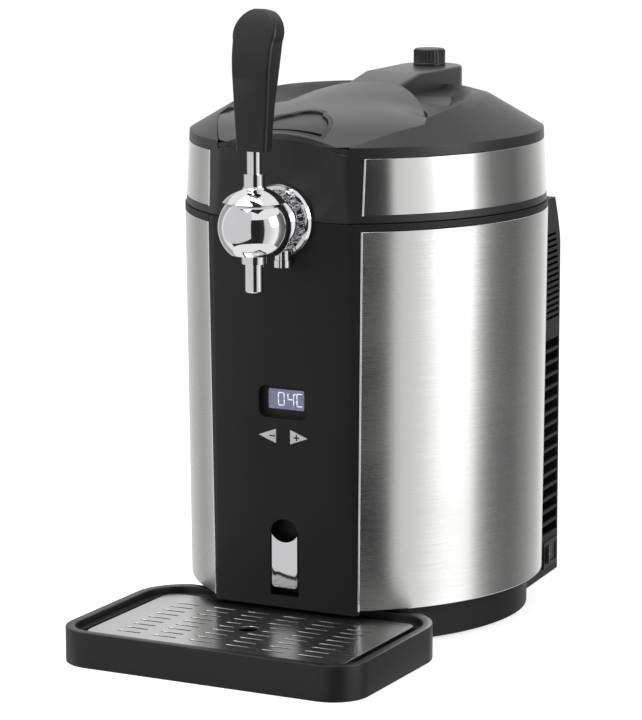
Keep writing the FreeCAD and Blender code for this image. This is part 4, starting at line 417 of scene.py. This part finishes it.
def refine(node: str, finish: Finish, round_mm: float = 0.0, segments: int = 2, smooth: float = 35.0,
           edge_finish: Optional[Finish] = None) -> bpy.types.Object:
    """Stand a merged copy of a node in for it, with rounded edges.

    Args:
        node: the frame node.
        finish: what it is made of.
        round_mm: width of the bevel on its sharp edges; 0 leaves them.
        segments: bevel segments.
        smooth: shading angle in degrees.
        edge_finish: finish of the bevels, where it isn't the piece's own.

    Returns:
        The piece.
    """
    mesh = copy_node(node)
    if round_mm > 0:
        bmesh.ops.dissolve_limit(mesh, angle_limit=math.radians(FLAT_ANGLE), verts=mesh.verts,
                                 edges=mesh.edges)
        sharp = [e for e in mesh.edges if len(e.link_faces) == 2
                 and e.calc_face_angle(0.0) > math.radians(SHARP_ANGLE)]
        made = bmesh.ops.bevel(mesh, geom=sharp, offset=round_mm * MM, segments=segments, profile=0.5,
                               affect="EDGES", material=-1, clamp_overlap=True, offset_type="OFFSET")
        if edge_finish is not None:
            for face in made["faces"]:
                face.material_index = 1
        bmesh.ops.triangulate(mesh, faces=[f for f in mesh.faces if len(f.verts) > 4])
    piece = register(mesh, node + "_finished", finish, node, stands_for=[node], smooth=smooth)
    if edge_finish is not None:
        piece.data.materials.append(edge_finish.material())
    return piece


def dress(finishes: Dict[str, Finish]) -> None:
    """Refine each named node with its finish and leave its edges."""
    for node, finish in finishes.items():
        refine(node, finish)


def hem(node: str, radius_mm: float = 0.75, end_mm: float = 2.0) -> None:
    """Rolled front edge of a steel sheet, as a bright bead from its lower to its upper end.

    Args:
        node: the sheet's frame node.
        radius_mm: radius of the bead.
        end_mm: how far from its top or bottom a point still counts as at the sheet's end.
    """
    points = [v.co.copy() for v in frame["nodes"][node].data.vertices if v.co.y < 0]
    ends = []
    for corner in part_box(node):
        near = [p for p in points if abs(p.z - corner[2]) < end_mm * MM]
        # Of the points at this end, the foremost one on the side of the panel
        ends.append(min(near, key=lambda p: abs(p.x) + 2 * p.y))
    foot, head = ends
    bead = bmesh.new()
    bmesh.ops.create_cone(bead, cap_ends=True, segments=14, radius1=radius_mm * MM,
                          radius2=radius_mm * MM, depth=(head - foot).length)
    place = Matrix.Translation((foot + head) / 2) @ facing(head - foot)
    bmesh.ops.transform(bead, matrix=place, verts=bead.verts)
    register(bead, node + "_hem", Finishes.SHEET_EDGE, node)


def add_to(mesh: bmesh.types.BMesh, part: bmesh.types.BMesh, place: Matrix) -> None:
    """Put a copy of one mesh into another.

    Args:
        mesh: the mesh that grows.
        part: the mesh that is copied.
        place: where the copy goes.
    """
    data = bpy.data.meshes.new("part")
    part.to_mesh(data)
    data.transform(place)
    mesh.from_mesh(data)
    bpy.data.meshes.remove(data)


def turned(profile: Sequence[Pair], steps: int = 32) -> bmesh.types.BMesh:
    """Spin a profile of radius and height, in mm, about Z into a closed solid.

    Args:
        profile: the points, from the lower middle to the upper middle.
        steps: how many steps the full turn has.

    Returns:
        The solid, in metres.
    """
    mesh = bmesh.new()
    verts = [mesh.verts.new((radius * MM, 0.0, height * MM)) for radius, height in profile]
    edges = [mesh.edges.new(pair) for pair in zip(verts, verts[1:])]
    bmesh.ops.spin(mesh, geom=verts + edges, cent=(0, 0, 0), axis=(0, 0, 1), angle=math.tau,
                   steps=steps, use_merge=True)
    bmesh.ops.remove_doubles(mesh, verts=mesh.verts, dist=1e-7)
    bmesh.ops.recalc_face_normals(mesh, faces=mesh.faces)
    return mesh


def rounded_bar(size: Vector, round_mm: float = 0.0, segments: int = 2) -> bmesh.types.BMesh:
    """Block about the origin, in metres, with rounded edges.

    Args:
        size: its full size along X, Y and Z, in metres.
        round_mm: width of the bevel on its edges, in mm.
        segments: bevel segments.

    Returns:
        The block.
    """
    mesh = bmesh.new()
    bmesh.ops.create_cube(mesh, size=1.0)
    bmesh.ops.scale(mesh, verts=mesh.verts, vec=size)
    if round_mm > 0:
        bmesh.ops.bevel(mesh, geom=mesh.edges[:], offset=round_mm * MM, segments=segments, profile=0.5,
                        affect="EDGES", material=-1)
    return mesh


@dataclass(frozen=True)
class Screw:
    """Pan-head screw with a cross recess; only the head is made. Lengths are in mm."""

    head_radius: float = 3.4
    head_height: float = 1.9
    recess_radius: float = 1.9
    recess_depth: float = 1.1
    sunk: float = 0.0
    # The dome's outline, as shares of the head's radius and height
    dome: Tuple[Pair, ...] = ((1.0, 0.0), (0.99, 0.55), (0.86, 0.9), (0.62, 1.0))
    cross_waist: float = 0.42
    cross_taper: float = 0.7
    twist: float = 0.7      # turn from each screw to the next, in radians

    def mesh(self) -> bmesh.types.BMesh:
        """One head that stands on the plane z = 0 and points up.

        Returns:
            The head, in metres.
        """
        mesh = bmesh.new()
        made = bmesh.ops.create_circle(mesh, cap_ends=False, segments=24, radius=self.head_radius * MM)
        foot = list({e for v in made["verts"] for e in v.link_edges})
        loop = foot
        previous = self.dome[0]
        for share, height in self.dome[1:]:
            grown = bmesh.ops.extrude_edge_only(mesh, edges=loop)
            verts = verts_of(grown)
            loop = edges_between(grown, verts)
            ratio = share / previous[0]
            rise = (height - previous[1]) * self.head_height * MM
            bmesh.ops.scale(mesh, verts=verts, vec=(ratio, ratio, 1.0))
            bmesh.ops.translate(mesh, verts=verts, vec=(0, 0, rise))
            previous = (share, height)
        made = bmesh.ops.create_circle(mesh, cap_ends=False, segments=12, radius=self.recess_radius * MM)
        cross = made["verts"]
        for index, vert in enumerate(cross):
            inward = self.cross_waist if index % 3 == 0 else 1.0
            vert.co = Vector((vert.co.x * inward, vert.co.y * inward, self.head_height * MM))
        rim = list({e for v in cross for e in v.link_edges})
        bmesh.ops.bridge_loops(mesh, edges=loop + rim)
        sunk = bmesh.ops.extrude_edge_only(mesh, edges=rim)
        deep = verts_of(sunk)
        bmesh.ops.scale(mesh, verts=deep, vec=(self.cross_taper, self.cross_taper, 1.0))
        bmesh.ops.translate(mesh, verts=deep, vec=(0, 0, -self.recess_depth * MM))
        bmesh.ops.contextual_create(mesh, geom=edges_between(sunk, deep))
        bmesh.ops.contextual_create(mesh, geom=foot)
        bmesh.ops.recalc_face_normals(mesh, faces=mesh.faces)
        return mesh

    def fix(self, name: str, node: str, starts: Sequence[Vector], way: Vector) -> None:
        """Seat a row of screws on a node as one piece.

        Args:
            name: the piece's name.
            node: the frame node that they hold.
            starts: points outside the node, in metres.
            way: the direction from those points to the node.
        """
        head = self.mesh()
        row = bmesh.new()
        for index, start in enumerate(starts):
            spot, normal = land(node, start, way)
            if normal.dot(way) > 0:
                normal = -normal
            seat = Matrix.Translation(spot - normal * self.sunk * MM)
            add_to(row, head, seat @ facing(normal) @ Matrix.Rotation(self.twist * index, 4, "Z"))
        head.free()
        register(row, name, Finishes.STEEL, node)


# Sub-assemblies


@dataclass
class Housing:
    """Foot, steel wraps, front panel, top ring and the rear housing."""

    sheet_edge_mm: float = 0.45
    base_screw_ring_mm: float = 84.0
    boss_radius: float = 6.5
    boss_height: float = 3.0
    boss_round: float = 0.4
    boss_rim: Pair = (1.6, 1.8)     # width of its rim, at the top and at the screw's seat
    boss_sink: float = 1.2
    rear_screw_x: float = 74.0
    rear_screw_z: Pair = (12.0, 212.0)
    rear_screw: Screw = Screw(sunk=1.5)
    hinge_screw: Screw = Screw(2.8, 1.4, 1.6, 0.9)
    hinge_screw_share: float = 0.7  # how far out the screws sit in the hinge bracket's half width
    hinge_screw_rise: float = 7.0

    def base_screws(self) -> None:
        """Four turned bosses under the base, each with its screw."""
        radius, height = self.boss_radius, self.boss_height
        seat = height - self.boss_sink
        boss = turned([(0.0, 0.0), (radius, 0.0), (radius, height - self.boss_round),
                       (radius - self.boss_round, height), (radius - self.boss_rim[0], height),
                       (radius - self.boss_rim[1], seat), (0.0, seat)])
        head = Screw().mesh()
        bosses, heads = bmesh.new(), bmesh.new()
        for start in ring_points(4, self.base_screw_ring_mm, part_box("base_foot")[0][2] - OUTSIDE):
            spot, _ = land("base_foot", start, UP)
            flip = Matrix.Translation(spot) @ Matrix.Rotation(math.pi, 4, "X")
            add_to(bosses, boss, flip)
            add_to(heads, head, flip @ Matrix.Translation((0, 0, seat * MM)))
        boss.free()
        head.free()
        register(bosses, "base_screw_bosses", Finishes.PANEL, "base_foot")
        register(heads, "base_screws", Finishes.STEEL, "base_foot")

    def build(self) -> None:
        """Dress every node of the housing and fix its screws."""
        dress({"base_foot": Finishes.PANEL, "rubber_feet": Finishes.RUBBER, "front_panel": Finishes.PANEL,
               "body_top_ring": Finishes.PANEL, "rear_cover": Finishes.PANEL,
               "insulation_jacket": Finishes.FOAM, "keg_well": Finishes.WELL, "keg_pad": Finishes.RUBBER,
               "hinge_bracket": Finishes.PANEL, "hinge_leaf": Finishes.LID, "hinge_pin": Finishes.STEEL})
        for node in ("steel_wrap_left", "steel_wrap_right"):
            refine(node, Finishes.WRAP, self.sheet_edge_mm, 1, edge_finish=Finishes.SHEET_EDGE)
            hem(node)
        self.base_screws()
        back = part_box("rear_cover")[1][1] + OUTSIDE
        starts = [Vector((side * self.rear_screw_x * MM, back, z * MM))
                  for side in (-1, 1) for z in self.rear_screw_z]
        self.rear_screw.fix("rear_cover_screws", "rear_cover", starts, FORWARD)
        low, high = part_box("hinge_bracket")
        rise = low[2] + self.hinge_screw_rise * MM
        starts = [Vector((side * high[0] * self.hinge_screw_share, back, rise)) for side in (-1, 1)]
        self.hinge_screw.fix("hinge_bracket_screws", "hinge_bracket", starts, FORWARD)


@dataclass
class Controls:
    """Display with its segments, the two keys with their marks, and the board behind them."""

    digit_height: float = 9.2
    digit_width: float = 4.7
    stroke: float = 0.9
    relief: float = 0.15
    window_gap: float = 0.45
    digit_x: Point = (-4.6, 3.2, 10.6)
    # Each segment's place, in half widths and quarter heights of a figure, and whether it stands:
    # top, upper right, lower right, bottom, lower left, upper left, middle
    seven: Tuple[Tuple[int, int, bool], ...] = ((0, 2, False), (1, 1, True), (1, -1, True), (0, -2, False),
                                                (-1, -1, True), (-1, 1, True), (0, 0, False))
    # Which of them are lit: nought, four and the letter C
    shapes: Tuple[str, str, str] = ("1111110", "0110011", "1001110")
    segment_gap: Pair = (0.5, 0.4)  # what a level and a standing bar leave free at their ends
    dot_length: float = 1.7
    dot_gap: Pair = (1.3, 0.4)      # the degree sign's place, out from and below the letter's corner
    key_edge_mm: float = 0.3
    mark_size: Point = (4.5, 0.16, 1.05)
    mark_round: float = 0.05
    mark_inset: Pair = (6.0, 8.6)   # from the inner end of the left and of the right key
    # Chip and socket on the board: size, rounding, and place from the middle of its back
    blocks: Tuple[Tuple[Point, float, Point], ...] = (((12.0, 1.6, 8.0), 0.3, (-8.0, 0.8, 6.0)),
                                                      ((14.0, 5.0, 6.0), 0.4, (6.0, 2.5, -18.0)))
    can_outline: Tuple[Pair, ...] = ((0, 0), (2.5, 0), (2.5, 5.0), (2.1, 5.4), (0, 5.4))
    can_x: Point = (8.0, 14.0, 20.0)
    can_z: float = 12.0

    def segment(self, length: float) -> bmesh.types.BMesh:
        """One pointed bar of the display, which lies along X and faces the front.

        Args:
            length: its length in mm.

        Returns:
            The bar, in metres.
        """
        mesh = bmesh.new()
        made = bmesh.ops.create_circle(mesh, cap_ends=True, segments=6, radius=self.stroke / 2 * MM)
        shift = (length - self.stroke) / 2 * MM
        for vert in made["verts"]:
            vert.co.x += shift if vert.co.x > 0 else -shift
        grown = bmesh.ops.extrude_face_region(mesh, geom=mesh.faces[:])
        bmesh.ops.translate(mesh, verts=verts_of(grown), vec=(0, 0, self.relief * MM))
        bmesh.ops.recalc_face_normals(mesh, faces=mesh.faces)
        bmesh.ops.transform(mesh, matrix=Matrix.Rotation(math.pi / 2, 4, "X"), verts=mesh.verts)
        return mesh

    def segments(self) -> None:
        """The reading on the display: two figures and the sign for degrees Celsius."""
        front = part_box("display_module")[0][1]
        centre = middle_of("display_glass").z
        half_w, quarter_h = self.digit_width / 2 * MM, self.digit_height / 4 * MM
        level = self.segment(self.digit_width - self.segment_gap[0])
        standing = self.segment(self.digit_height / 2 - self.segment_gap[1])
        bmesh.ops.transform(standing, matrix=Matrix.Rotation(math.pi / 2, 4, "Y"), verts=standing.verts)
        reading = bmesh.new()
        for x, shape in zip(self.digit_x, self.shapes):
            for lit, (across, up, stands) in zip(shape, self.seven):
                if lit == "1":
                    place = Matrix.Translation((x * MM + across * half_w, front, centre + up * quarter_h))
                    add_to(reading, standing if stands else level, place)
        dot = self.segment(self.dot_length)
        out, below = self.dot_gap[0] * MM, self.dot_gap[1] * MM
        add_to(reading, dot, Matrix.Translation(
            (self.digit_x[2] * MM - half_w - out, front, centre + 2 * quarter_h - below)))
        for mesh in (level, standing, dot):
            mesh.free()
        register(reading, "display_segments", Finishes.SEGMENT, "display_module")

    def window(self) -> None:
        """Clear window, held a little in front of the display so that the segments have room."""
        mesh = copy_node("display_glass")
        low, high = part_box("display_glass")
        share = (high[1] - low[1] - self.window_gap * MM) / (high[1] - low[1])
        about_front = Matrix.Translation((0, -low[1], 0))
        bmesh.ops.scale(mesh, verts=mesh.verts, vec=(1, share, 1), space=about_front)
        register(mesh, "display_window", Finishes.WINDOW, "display_glass", stands_for=["display_glass"])

    def key_mark(self, node: str, cross: bool) -> None:
        """Printed sign on a key.

        Args:
            node: the key.
            cross: True for the right key's plus sign, False for the left key's minus sign.
        """
        low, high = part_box(node)
        x = low[0] + self.mark_inset[1] * MM if cross else high[0] - self.mark_inset[0] * MM
        start = Vector((x, low[1] - OUTSIDE, (low[2] + high[2]) / 2))
        spot, _ = land(node, start, -FORWARD)
        sign = bmesh.new()
        stroke = rounded_bar(Vector(self.mark_size) * MM, self.mark_round, 1)
        add_to(sign, stroke, Matrix.Translation(spot))
        if cross:
            add_to(sign, stroke, Matrix.Translation(spot) @ Matrix.Rotation(math.pi / 2, 4, "Y"))
        stroke.free()
        register(sign, node + "_sign", Finishes.INK, node)

    def board_parts(self) -> None:
        """Chip, connector and capacitors on the back of the control board."""
        middle = middle_of("control_board")
        middle.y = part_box("control_board")[1][1]
        parts = bmesh.new()
        for size, rounding, at in self.blocks:
            block = rounded_bar(Vector(size) * MM, rounding)
            add_to(parts, block, Matrix.Translation(middle + Vector(at) * MM))
            block.free()
        can = turned(self.can_outline, 20)
        for x in self.can_x:
            place = Matrix.Translation(middle + Vector((x, 0.0, self.can_z)) * MM)
            add_to(parts, can, place @ Matrix.Rotation(-math.pi / 2, 4, "X"))
        can.free()
        register(parts, "control_board_parts", Finishes.CHIP, "control_board")

    def build(self) -> None:
        """Build and dress the controls."""
        dress({"display_module": Finishes.BACKLIGHT, "control_board": Finishes.BOARD,
               "tact_switches": Finishes.CHIP})
        for node in ("button_minus", "button_plus"):
            refine(node, Finishes.KEY, self.key_edge_mm)
        self.window()
        self.segments()
        self.key_mark("button_minus", False)
        self.key_mark("button_plus", True)
        self.board_parts()


@dataclass
class DrainOutlet:
    """Chrome flap over the condensate drain, its pin and the tube behind it."""

    lip_mm: float = 0.5

    def build(self) -> None:
        """Dress the drain."""
        refine("drain_flap", Finishes.CHROME, self.lip_mm, 2)
        dress({"drain_hinge_pin": Finishes.STEEL, "drain_tube": Finishes.TUBE})


@dataclass
class Tap:
    """Ball valve with its spout, flange, shank and the tipping lever with its handle."""

    chromed: Tuple[str, ...] = ("tap_shank", "tap_flange", "flange_screw", "coupling_nut", "tap_ball",
                                "spout_collar", "spout", "lever_stem", "lever_cap")
    chrome_smooth: float = 30.0
    handle_smooth: float = 50.0

    def build(self) -> None:
        """Dress the tap."""
        for node in self.chromed:
            refine(node, Finishes.CHROME, smooth=self.chrome_smooth)
        dress({"tap_bracket": Finishes.STEEL, "shank_nut": Finishes.STEEL,
               "lever_pivot_pin": Finishes.STEEL, "valve_plunger": Finishes.BRASS})
        refine("tap_handle", Finishes.HANDLE, smooth=self.handle_smooth)


@dataclass
class DripTray:
    """Black tray and the slotted steel plate that lies in it."""

    rim_mm: float = 1.1
    plate_mm: float = 0.2

    def build(self) -> None:
        """Dress the tray and the plate."""
        refine("drip_tray", Finishes.TRAY, self.rim_mm, 3)
        refine("drip_grid", Finishes.GRID, self.plate_mm, 1)


@dataclass
class Lid:
    """Lid with its steel bands, hood, latch, inner cover and seal."""

    band_edge_mm: float = 0.35
    cover_screw: Screw = Screw(3.0, 1.5, 1.7, 0.9)
    screw_ring_mm: float = 116.0
    latch_travel_mm: float = 2.5
    lip_size_mm: Point = (18.0, 2.4, 4.6)
    lip_at_mm: Point = (44.5, -84.7, 364.9)
    lip_round_mm: float = 0.4
    lip_lean: float = 9.0
    lip_turn: float = 12.0

    def hood_lips(self) -> None:
        """Short lips under the hood's front corners, which close the joint with the shell."""
        lips = bmesh.new()
        lip = rounded_bar(Vector(self.lip_size_mm) * MM, self.lip_round_mm)
        for side in (-1, 1):
            at = Vector((side * self.lip_at_mm[0], self.lip_at_mm[1], self.lip_at_mm[2])) * MM
            add_to(lips, lip, Matrix.Translation(at)
                   @ Matrix.Rotation(math.radians(side * self.lip_turn), 4, "Z")
                   @ Matrix.Rotation(math.radians(side * self.lip_lean), 4, "Y"))
        lip.free()
        register(lips, "lid_hood_lips", Finishes.LID, "lid_hood")

    def build(self) -> None:
        """Dress the lid and fix its inner cover."""
        dress({"lid_shell": Finishes.LID, "lid_hood": Finishes.HOOD_PAINTED_SHEEN, "latch_tub": Finishes.LID,
               "latch_button": Finishes.LID, "lid_inner_cover": Finishes.LID,
               "lid_gasket": Finishes.SILICONE})
        for node in ("lid_band_left", "lid_band_right"):
            refine(node, Finishes.BAND, self.band_edge_mm, 1, edge_finish=Finishes.SHEET_EDGE)
            hem(node)
        self.hood_lips()
        spring = refine("latch_spring", Finishes.STEEL)
        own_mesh(spring)
        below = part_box("lid_inner_cover")[0][2] - OUTSIDE
        starts = ring_points(6, self.screw_ring_mm, below, 30.0)
        self.cover_screw.fix("lid_inner_cover_screws", "lid_inner_cover", starts, UP)


@dataclass
class PressureUnit:
    """Knob, regulator, gas cartridge and its clip."""

    def build(self) -> None:
        """Dress the gas parts."""
        dress({"pressure_knob": Finishes.KNOB, "pressure_regulator": Finishes.BRASS,
               "gas_cartridge": Finishes.STEEL, "cartridge_clip": Finishes.LID})


@dataclass
class CoolingUnit:
    """Thermoelectric cooler, fan, converter, power inlet and switch."""

    fan_screw: Screw = Screw(2.6, 1.2, 1.5, 0.8)
    fan_screw_mm: float = 41.0  # the screws' place, level and upright from the fan's middle
    sign_mm: float = 4.6
    bar_width_mm: float = 0.7
    bar_height_mm: float = 0.2
    ring_bore: float = 0.68     # the ring's inner radius as a share of its outer one
    ring_height_mm: float = 0.1
    sign_share: float = 0.27    # how far from the rocker's middle the signs are, as a share of its length

    def rocker_signs(self) -> None:
        """Ring and bar on the rocker, for off and on."""
        low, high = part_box("power_rocker")
        middle = middle_of("power_rocker")
        signs = bmesh.new()
        bar = rounded_bar(Vector((self.sign_mm, self.bar_width_mm, self.bar_height_mm)) * MM)
        ring = bmesh.new()
        bmesh.ops.create_circle(ring, cap_ends=False, segments=24, radius=self.sign_mm / 2 * MM)
        grown = bmesh.ops.extrude_edge_only(ring, edges=ring.edges[:])
        bmesh.ops.scale(ring, verts=verts_of(grown), vec=(self.ring_bore, self.ring_bore, 1.0))
        bmesh.ops.solidify(ring, geom=ring.faces[:], thickness=self.ring_height_mm * MM)
        bmesh.ops.recalc_face_normals(ring, faces=ring.faces)
        for mesh, share in ((bar, -self.sign_share), (ring, self.sign_share)):
            start = Vector((high[0] + OUTSIDE, middle.y + share * (high[1] - low[1]), middle.z))
            spot, normal = land("power_rocker", start, Vector((-1, 0, 0)))
            add_to(signs, mesh, Matrix.Translation(spot) @ facing(normal))
            mesh.free()
        register(signs, "power_rocker_signs", Finishes.PALE_INK, "power_rocker")

    def build(self) -> None:
        """Dress the cooling unit and the mains parts."""
        dress({"cold_block": Finishes.FINS, "peltier_module": Finishes.CERAMIC, "heat_sink": Finishes.FINS,
               "fan_frame": Finishes.KNOB, "fan_rotor": Finishes.KNOB, "power_converter": Finishes.STEEL,
               "power_inlet": Finishes.KNOB, "switch_frame": Finishes.KNOB, "power_rocker": Finishes.KNOB})
        middle = middle_of("fan_frame")
        middle.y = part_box("fan_frame")[1][1] + OUTSIDE
        starts = [middle + Vector((dx, 0.0, dz)) * self.fan_screw_mm * MM
                  for dx in (-1, 1) for dz in (-1, 1)]
        self.fan_screw.fix("fan_screws", "fan_frame", starts, FORWARD)
        self.rocker_signs()


@dataclass
class Studio:
    """Pale floor, white surround, a curved screen for the metal to show, and soft lamps.

    Lengths are in metres, and directions in degrees from the front towards the right.
    """

    camera_at: Point = (1.10503, -2.15386, 0.64215)
    heading: float = 27.44
    pitch: float = 10.43
    roll: float = -0.16
    lens_mm: float = 164.48
    film_mm: float = 36.0
    world_tones: Pair = (0.45, 1.0)     # for the light that it gives, and as it is seen
    floor_size: float = 80.0
    floor_tone: float = 0.86
    floor_glow: float = 0.62
    screen_radius: float = 2.6
    screen_z: Pair = (-2.2, 1.7)
    screen_strength: float = 1.1
    # Brightness of the screen by direction
    screen_tones: Tuple[Pair, ...] = (
        (-180, 0.80), (-150, 0.90), (-125, 0.55), (-108, 0.36), (-97, 0.45), (-88, 0.9), (-66, 0.9),
        (-62, 0.03), (40, 0.02), (46, 0.03), (56, 0.04), (58.5, 0.66), (72, 0.70), (92, 0.95), (104, 1.08),
        (108, 0.45), (118, 0.17), (136, 0.12), (150, 0.26), (160, 0.42), (170, 0.55), (180, 0.80))
    card_azimuth: float = -34.0
    card_half_angle: float = 50.0
    card_z: Pair = (-0.95, 3.0)
    card_reach: float = 1.6
    card_tone: float = 0.74
    flag_size: Pair = (2.6, 1.1)
    flag_at: Point = (-0.1, -0.85, 2.2)
    flag_tone: float = 0.03
    # Each lamp's name, place, size and power in watts
    lamps: Tuple[Tuple[str, Point, float, float], ...] = (
        ("lamp_above", (-0.3, -0.4, 2.2), 1.6, 26.0), ("lamp_right", (2.4, 0.1, 1.0), 1.2, 32.0),
        ("lamp_left", (-2.0, -1.4, 1.3), 1.2, 12.0))
    lamp_target: Point = (0.0, 0.0, 0.2)

    def camera(self) -> None:
        """Place the camera."""
        data = bpy.data.cameras.new("camera")
        data.lens = self.lens_mm
        data.sensor_width = self.film_mm
        data.clip_end = 50.0
        thing = bpy.data.objects.new("camera", data)
        turn = (Matrix.Rotation(math.radians(self.heading), 4, "Z")
                @ Matrix.Rotation(math.radians(90.0 - self.pitch), 4, "X")
                @ Matrix.Rotation(math.radians(self.roll), 4, "Z"))
        thing.matrix_world = Matrix.Translation(self.camera_at) @ turn
        bpy.context.scene.collection.objects.link(thing)
        bpy.context.scene.camera = thing

    @staticmethod
    def sheet(width: float, height: float, place: Matrix) -> bmesh.types.BMesh:
        """Make a flat rectangle.

        Args:
            width: its size along X.
            height: its size along Y.
            place: where it goes from the origin.

        Returns:
            The rectangle.
        """
        mesh = bmesh.new()
        bmesh.ops.create_grid(mesh, x_segments=1, y_segments=1, size=0.5)
        bmesh.ops.scale(mesh, verts=mesh.verts, vec=(width, height, 1.0))
        bmesh.ops.transform(mesh, matrix=place, verts=mesh.verts)
        return mesh

    @staticmethod
    def glowing(name: str, tone: float) -> bpy.types.Material:
        """Make a material that only shines, in one grey.

        Args:
            name: its name.
            tone: its brightness.

        Returns:
            The material.
        """
        paint = blank_material(name)
        colour = (tone, tone, tone, 1.0)
        glow = add_node(paint.node_tree, "ShaderNodeEmission", values={"Color": colour, "Strength": 1.0})
        add_node(paint.node_tree, "ShaderNodeOutputMaterial", {"Surface": glow.outputs["Emission"]})
        return paint

    @staticmethod
    def put(name: str, mesh: bmesh.types.BMesh, paint: bpy.types.Material, reflected: bool = True) -> None:
        """Args:
            name: its name.
            mesh: its shape, which is freed here.
            paint: its material.
            reflected: True where only reflections see it, False where all but they do.
        """
        data = bpy.data.meshes.new(name)
        mesh.to_mesh(data)
        mesh.free()
        data.materials.append(paint)
        thing = bpy.data.objects.new(name, data)
        thing.visible_glossy = reflected
        for ray in ("camera", "diffuse", "shadow", "transmission"):
            setattr(thing, "visible_" + ray, not reflected)
        bpy.context.scene.collection.objects.link(thing)

    @staticmethod
    def seen_directly(tree: bpy.types.NodeTree) -> bpy.types.NodeSocket:
        """Add nodes that tell what is seen from the light that is given.

        Args:
            tree: the node tree.

        Returns:
            A socket that is 1 for camera, glossy and transmission rays, and 0 for the others.
        """
        path = add_node(tree, "ShaderNodeLightPath")
        seen = path.outputs["Is Camera Ray"]
        for kind in ("Is Glossy Ray", "Is Transmission Ray"):
            seen = add_node(tree, "ShaderNodeMath", {0: seen, 1: path.outputs[kind]},
                            operation="MAXIMUM").outputs[0]
        return seen

    def world(self) -> None:
        """White surround for camera and reflections, softer for the light that it gives."""
        world = bpy.data.worlds.new("surround")
        bpy.context.scene.world = world
        world.use_nodes = True
        tree = world.node_tree
        tree.nodes.clear()
        level = add_node(tree, "ShaderNodeMapRange", {"Value": self.seen_directly(tree)},
                         {"To Min": self.world_tones[0], "To Max": self.world_tones[1]})
        back = add_node(tree, "ShaderNodeBackground", {"Strength": level.outputs["Result"]},
                        {"Color": (1.0, 1.0, 1.0, 1.0)})
        add_node(tree, "ShaderNodeOutputWorld", {"Surface": back.outputs["Background"]})

    def floor(self) -> None:
        """Pale floor that shows white where no shadow lies."""
        paint = blank_material("floor_white")
        tree = paint.node_tree
        level = add_node(tree, "ShaderNodeMath", {0: self.seen_directly(tree)}, {1: self.floor_glow},
                         operation="MULTIPLY")
        shader = add_node(tree, "ShaderNodeBsdfPrincipled", {"Emission Strength": level.outputs[0]},
                          {"Base Color": (self.floor_tone,) * 3 + (1.0,), "Roughness": 0.9,
                           "Emission Color": (1.0, 1.0, 1.0, 1.0), "Specular IOR Level": 0.0})
        add_node(tree, "ShaderNodeOutputMaterial", {"Surface": shader.outputs["BSDF"]})
        self.put("floor", self.sheet(self.floor_size, self.floor_size, Matrix.Identity(4)), paint, False)

    def screen(self) -> None:
        """Curved screen round the object, with dark and bright bands that the steel shows."""
        low, high = self.screen_z
        mesh = bmesh.new()
        bmesh.ops.create_cone(mesh, cap_ends=False, segments=96, radius1=self.screen_radius,
                              radius2=self.screen_radius, depth=high - low)
        bmesh.ops.translate(mesh, verts=mesh.verts, vec=(0, 0, (high + low) / 2))
        paint = blank_material("screen_bands")
        tree = paint.node_tree
        place = add_node(tree, "ShaderNodeTexCoord")
        parts = add_node(tree, "ShaderNodeSeparateXYZ", {"Vector": place.outputs["Object"]})
        front = add_node(tree, "ShaderNodeMath", {0: parts.outputs["Y"]}, {1: -1.0}, operation="MULTIPLY")
        angle = add_node(tree, "ShaderNodeMath", {0: parts.outputs["X"], 1: front.outputs[0]},
                         operation="ARCTAN2")
        share = add_node(tree, "ShaderNodeMapRange", {"Value": angle.outputs[0]},
                         {"From Min": -math.pi, "From Max": math.pi})
        ramp = add_node(tree, "ShaderNodeValToRGB", {"Fac": share.outputs["Result"]})
        stops = ramp.color_ramp.elements
        while len(stops) > 1:
            stops.remove(stops[-1])
        for index, (degrees, tone) in enumerate(self.screen_tones):
            where = (degrees + 180.0) / 360.0
            stop = stops[0] if index == 0 else stops.new(where)
            stop.position = where
            stop.color = (tone, tone, tone, 1.0)
        glow = add_node(tree, "ShaderNodeEmission", {"Color": ramp.outputs["Color"]},
                        {"Strength": self.screen_strength})
        add_node(tree, "ShaderNodeOutputMaterial", {"Surface": glow.outputs["Emission"]})
        self.put("screen", mesh, paint)

    def card(self) -> None:
        """Upright bright card in front, on the left, for the gloss of the plastics."""
        low, high = self.card_z
        width = 2 * self.card_reach * math.tan(math.radians(self.card_half_angle))
        place = (Matrix.Rotation(math.radians(self.card_azimuth), 4, "Z")
                 @ Matrix.Translation((0.0, -self.card_reach, (high + low) / 2))
                 @ Matrix.Rotation(math.radians(90.0), 4, "X"))
        paint = self.glowing("card_window", self.card_tone)
        self.put("card_window", self.sheet(width, high - low, place), paint)

    def flag(self) -> None:
        """Dark board above the front, which chrome shows as the shade over the lamp."""
        board = self.sheet(*self.flag_size, Matrix.Translation(self.flag_at))
        self.put("flag", board, self.glowing("flag_black", self.flag_tone))

    def light(self) -> None:
        """Soft square lamps that look at the middle of the object."""
        for name, at, size, power in self.lamps:
            data = bpy.data.lights.new(name, "AREA")
            data.shape = "SQUARE"
            data.size = size
            data.energy = power
            thing = bpy.data.objects.new(name, data)
            thing.location = at
            look = Vector(self.lamp_target) - Vector(at)
            thing.rotation_euler = look.to_track_quat("-Z", "Y").to_euler()
            bpy.context.scene.collection.objects.link(thing)

    def build(self) -> None:
        """Set up the whole studio."""
        for step in (self.camera, self.world, self.floor, self.screen, self.card, self.flag, self.light):
            step()
        bpy.context.scene.view_settings.view_transform = "Standard"


def main() -> None:
    """Build the sub-assemblies in order and report each one."""
    for part in (Studio(), Housing(), Controls(), DrainOutlet(), Tap(), DripTray(), Lid(), PressureUnit(),
                 CoolingUnit()):
        part.build()
        LOG.info("%s built", type(part).__name__)


if __name__ == "__main__":
    main()
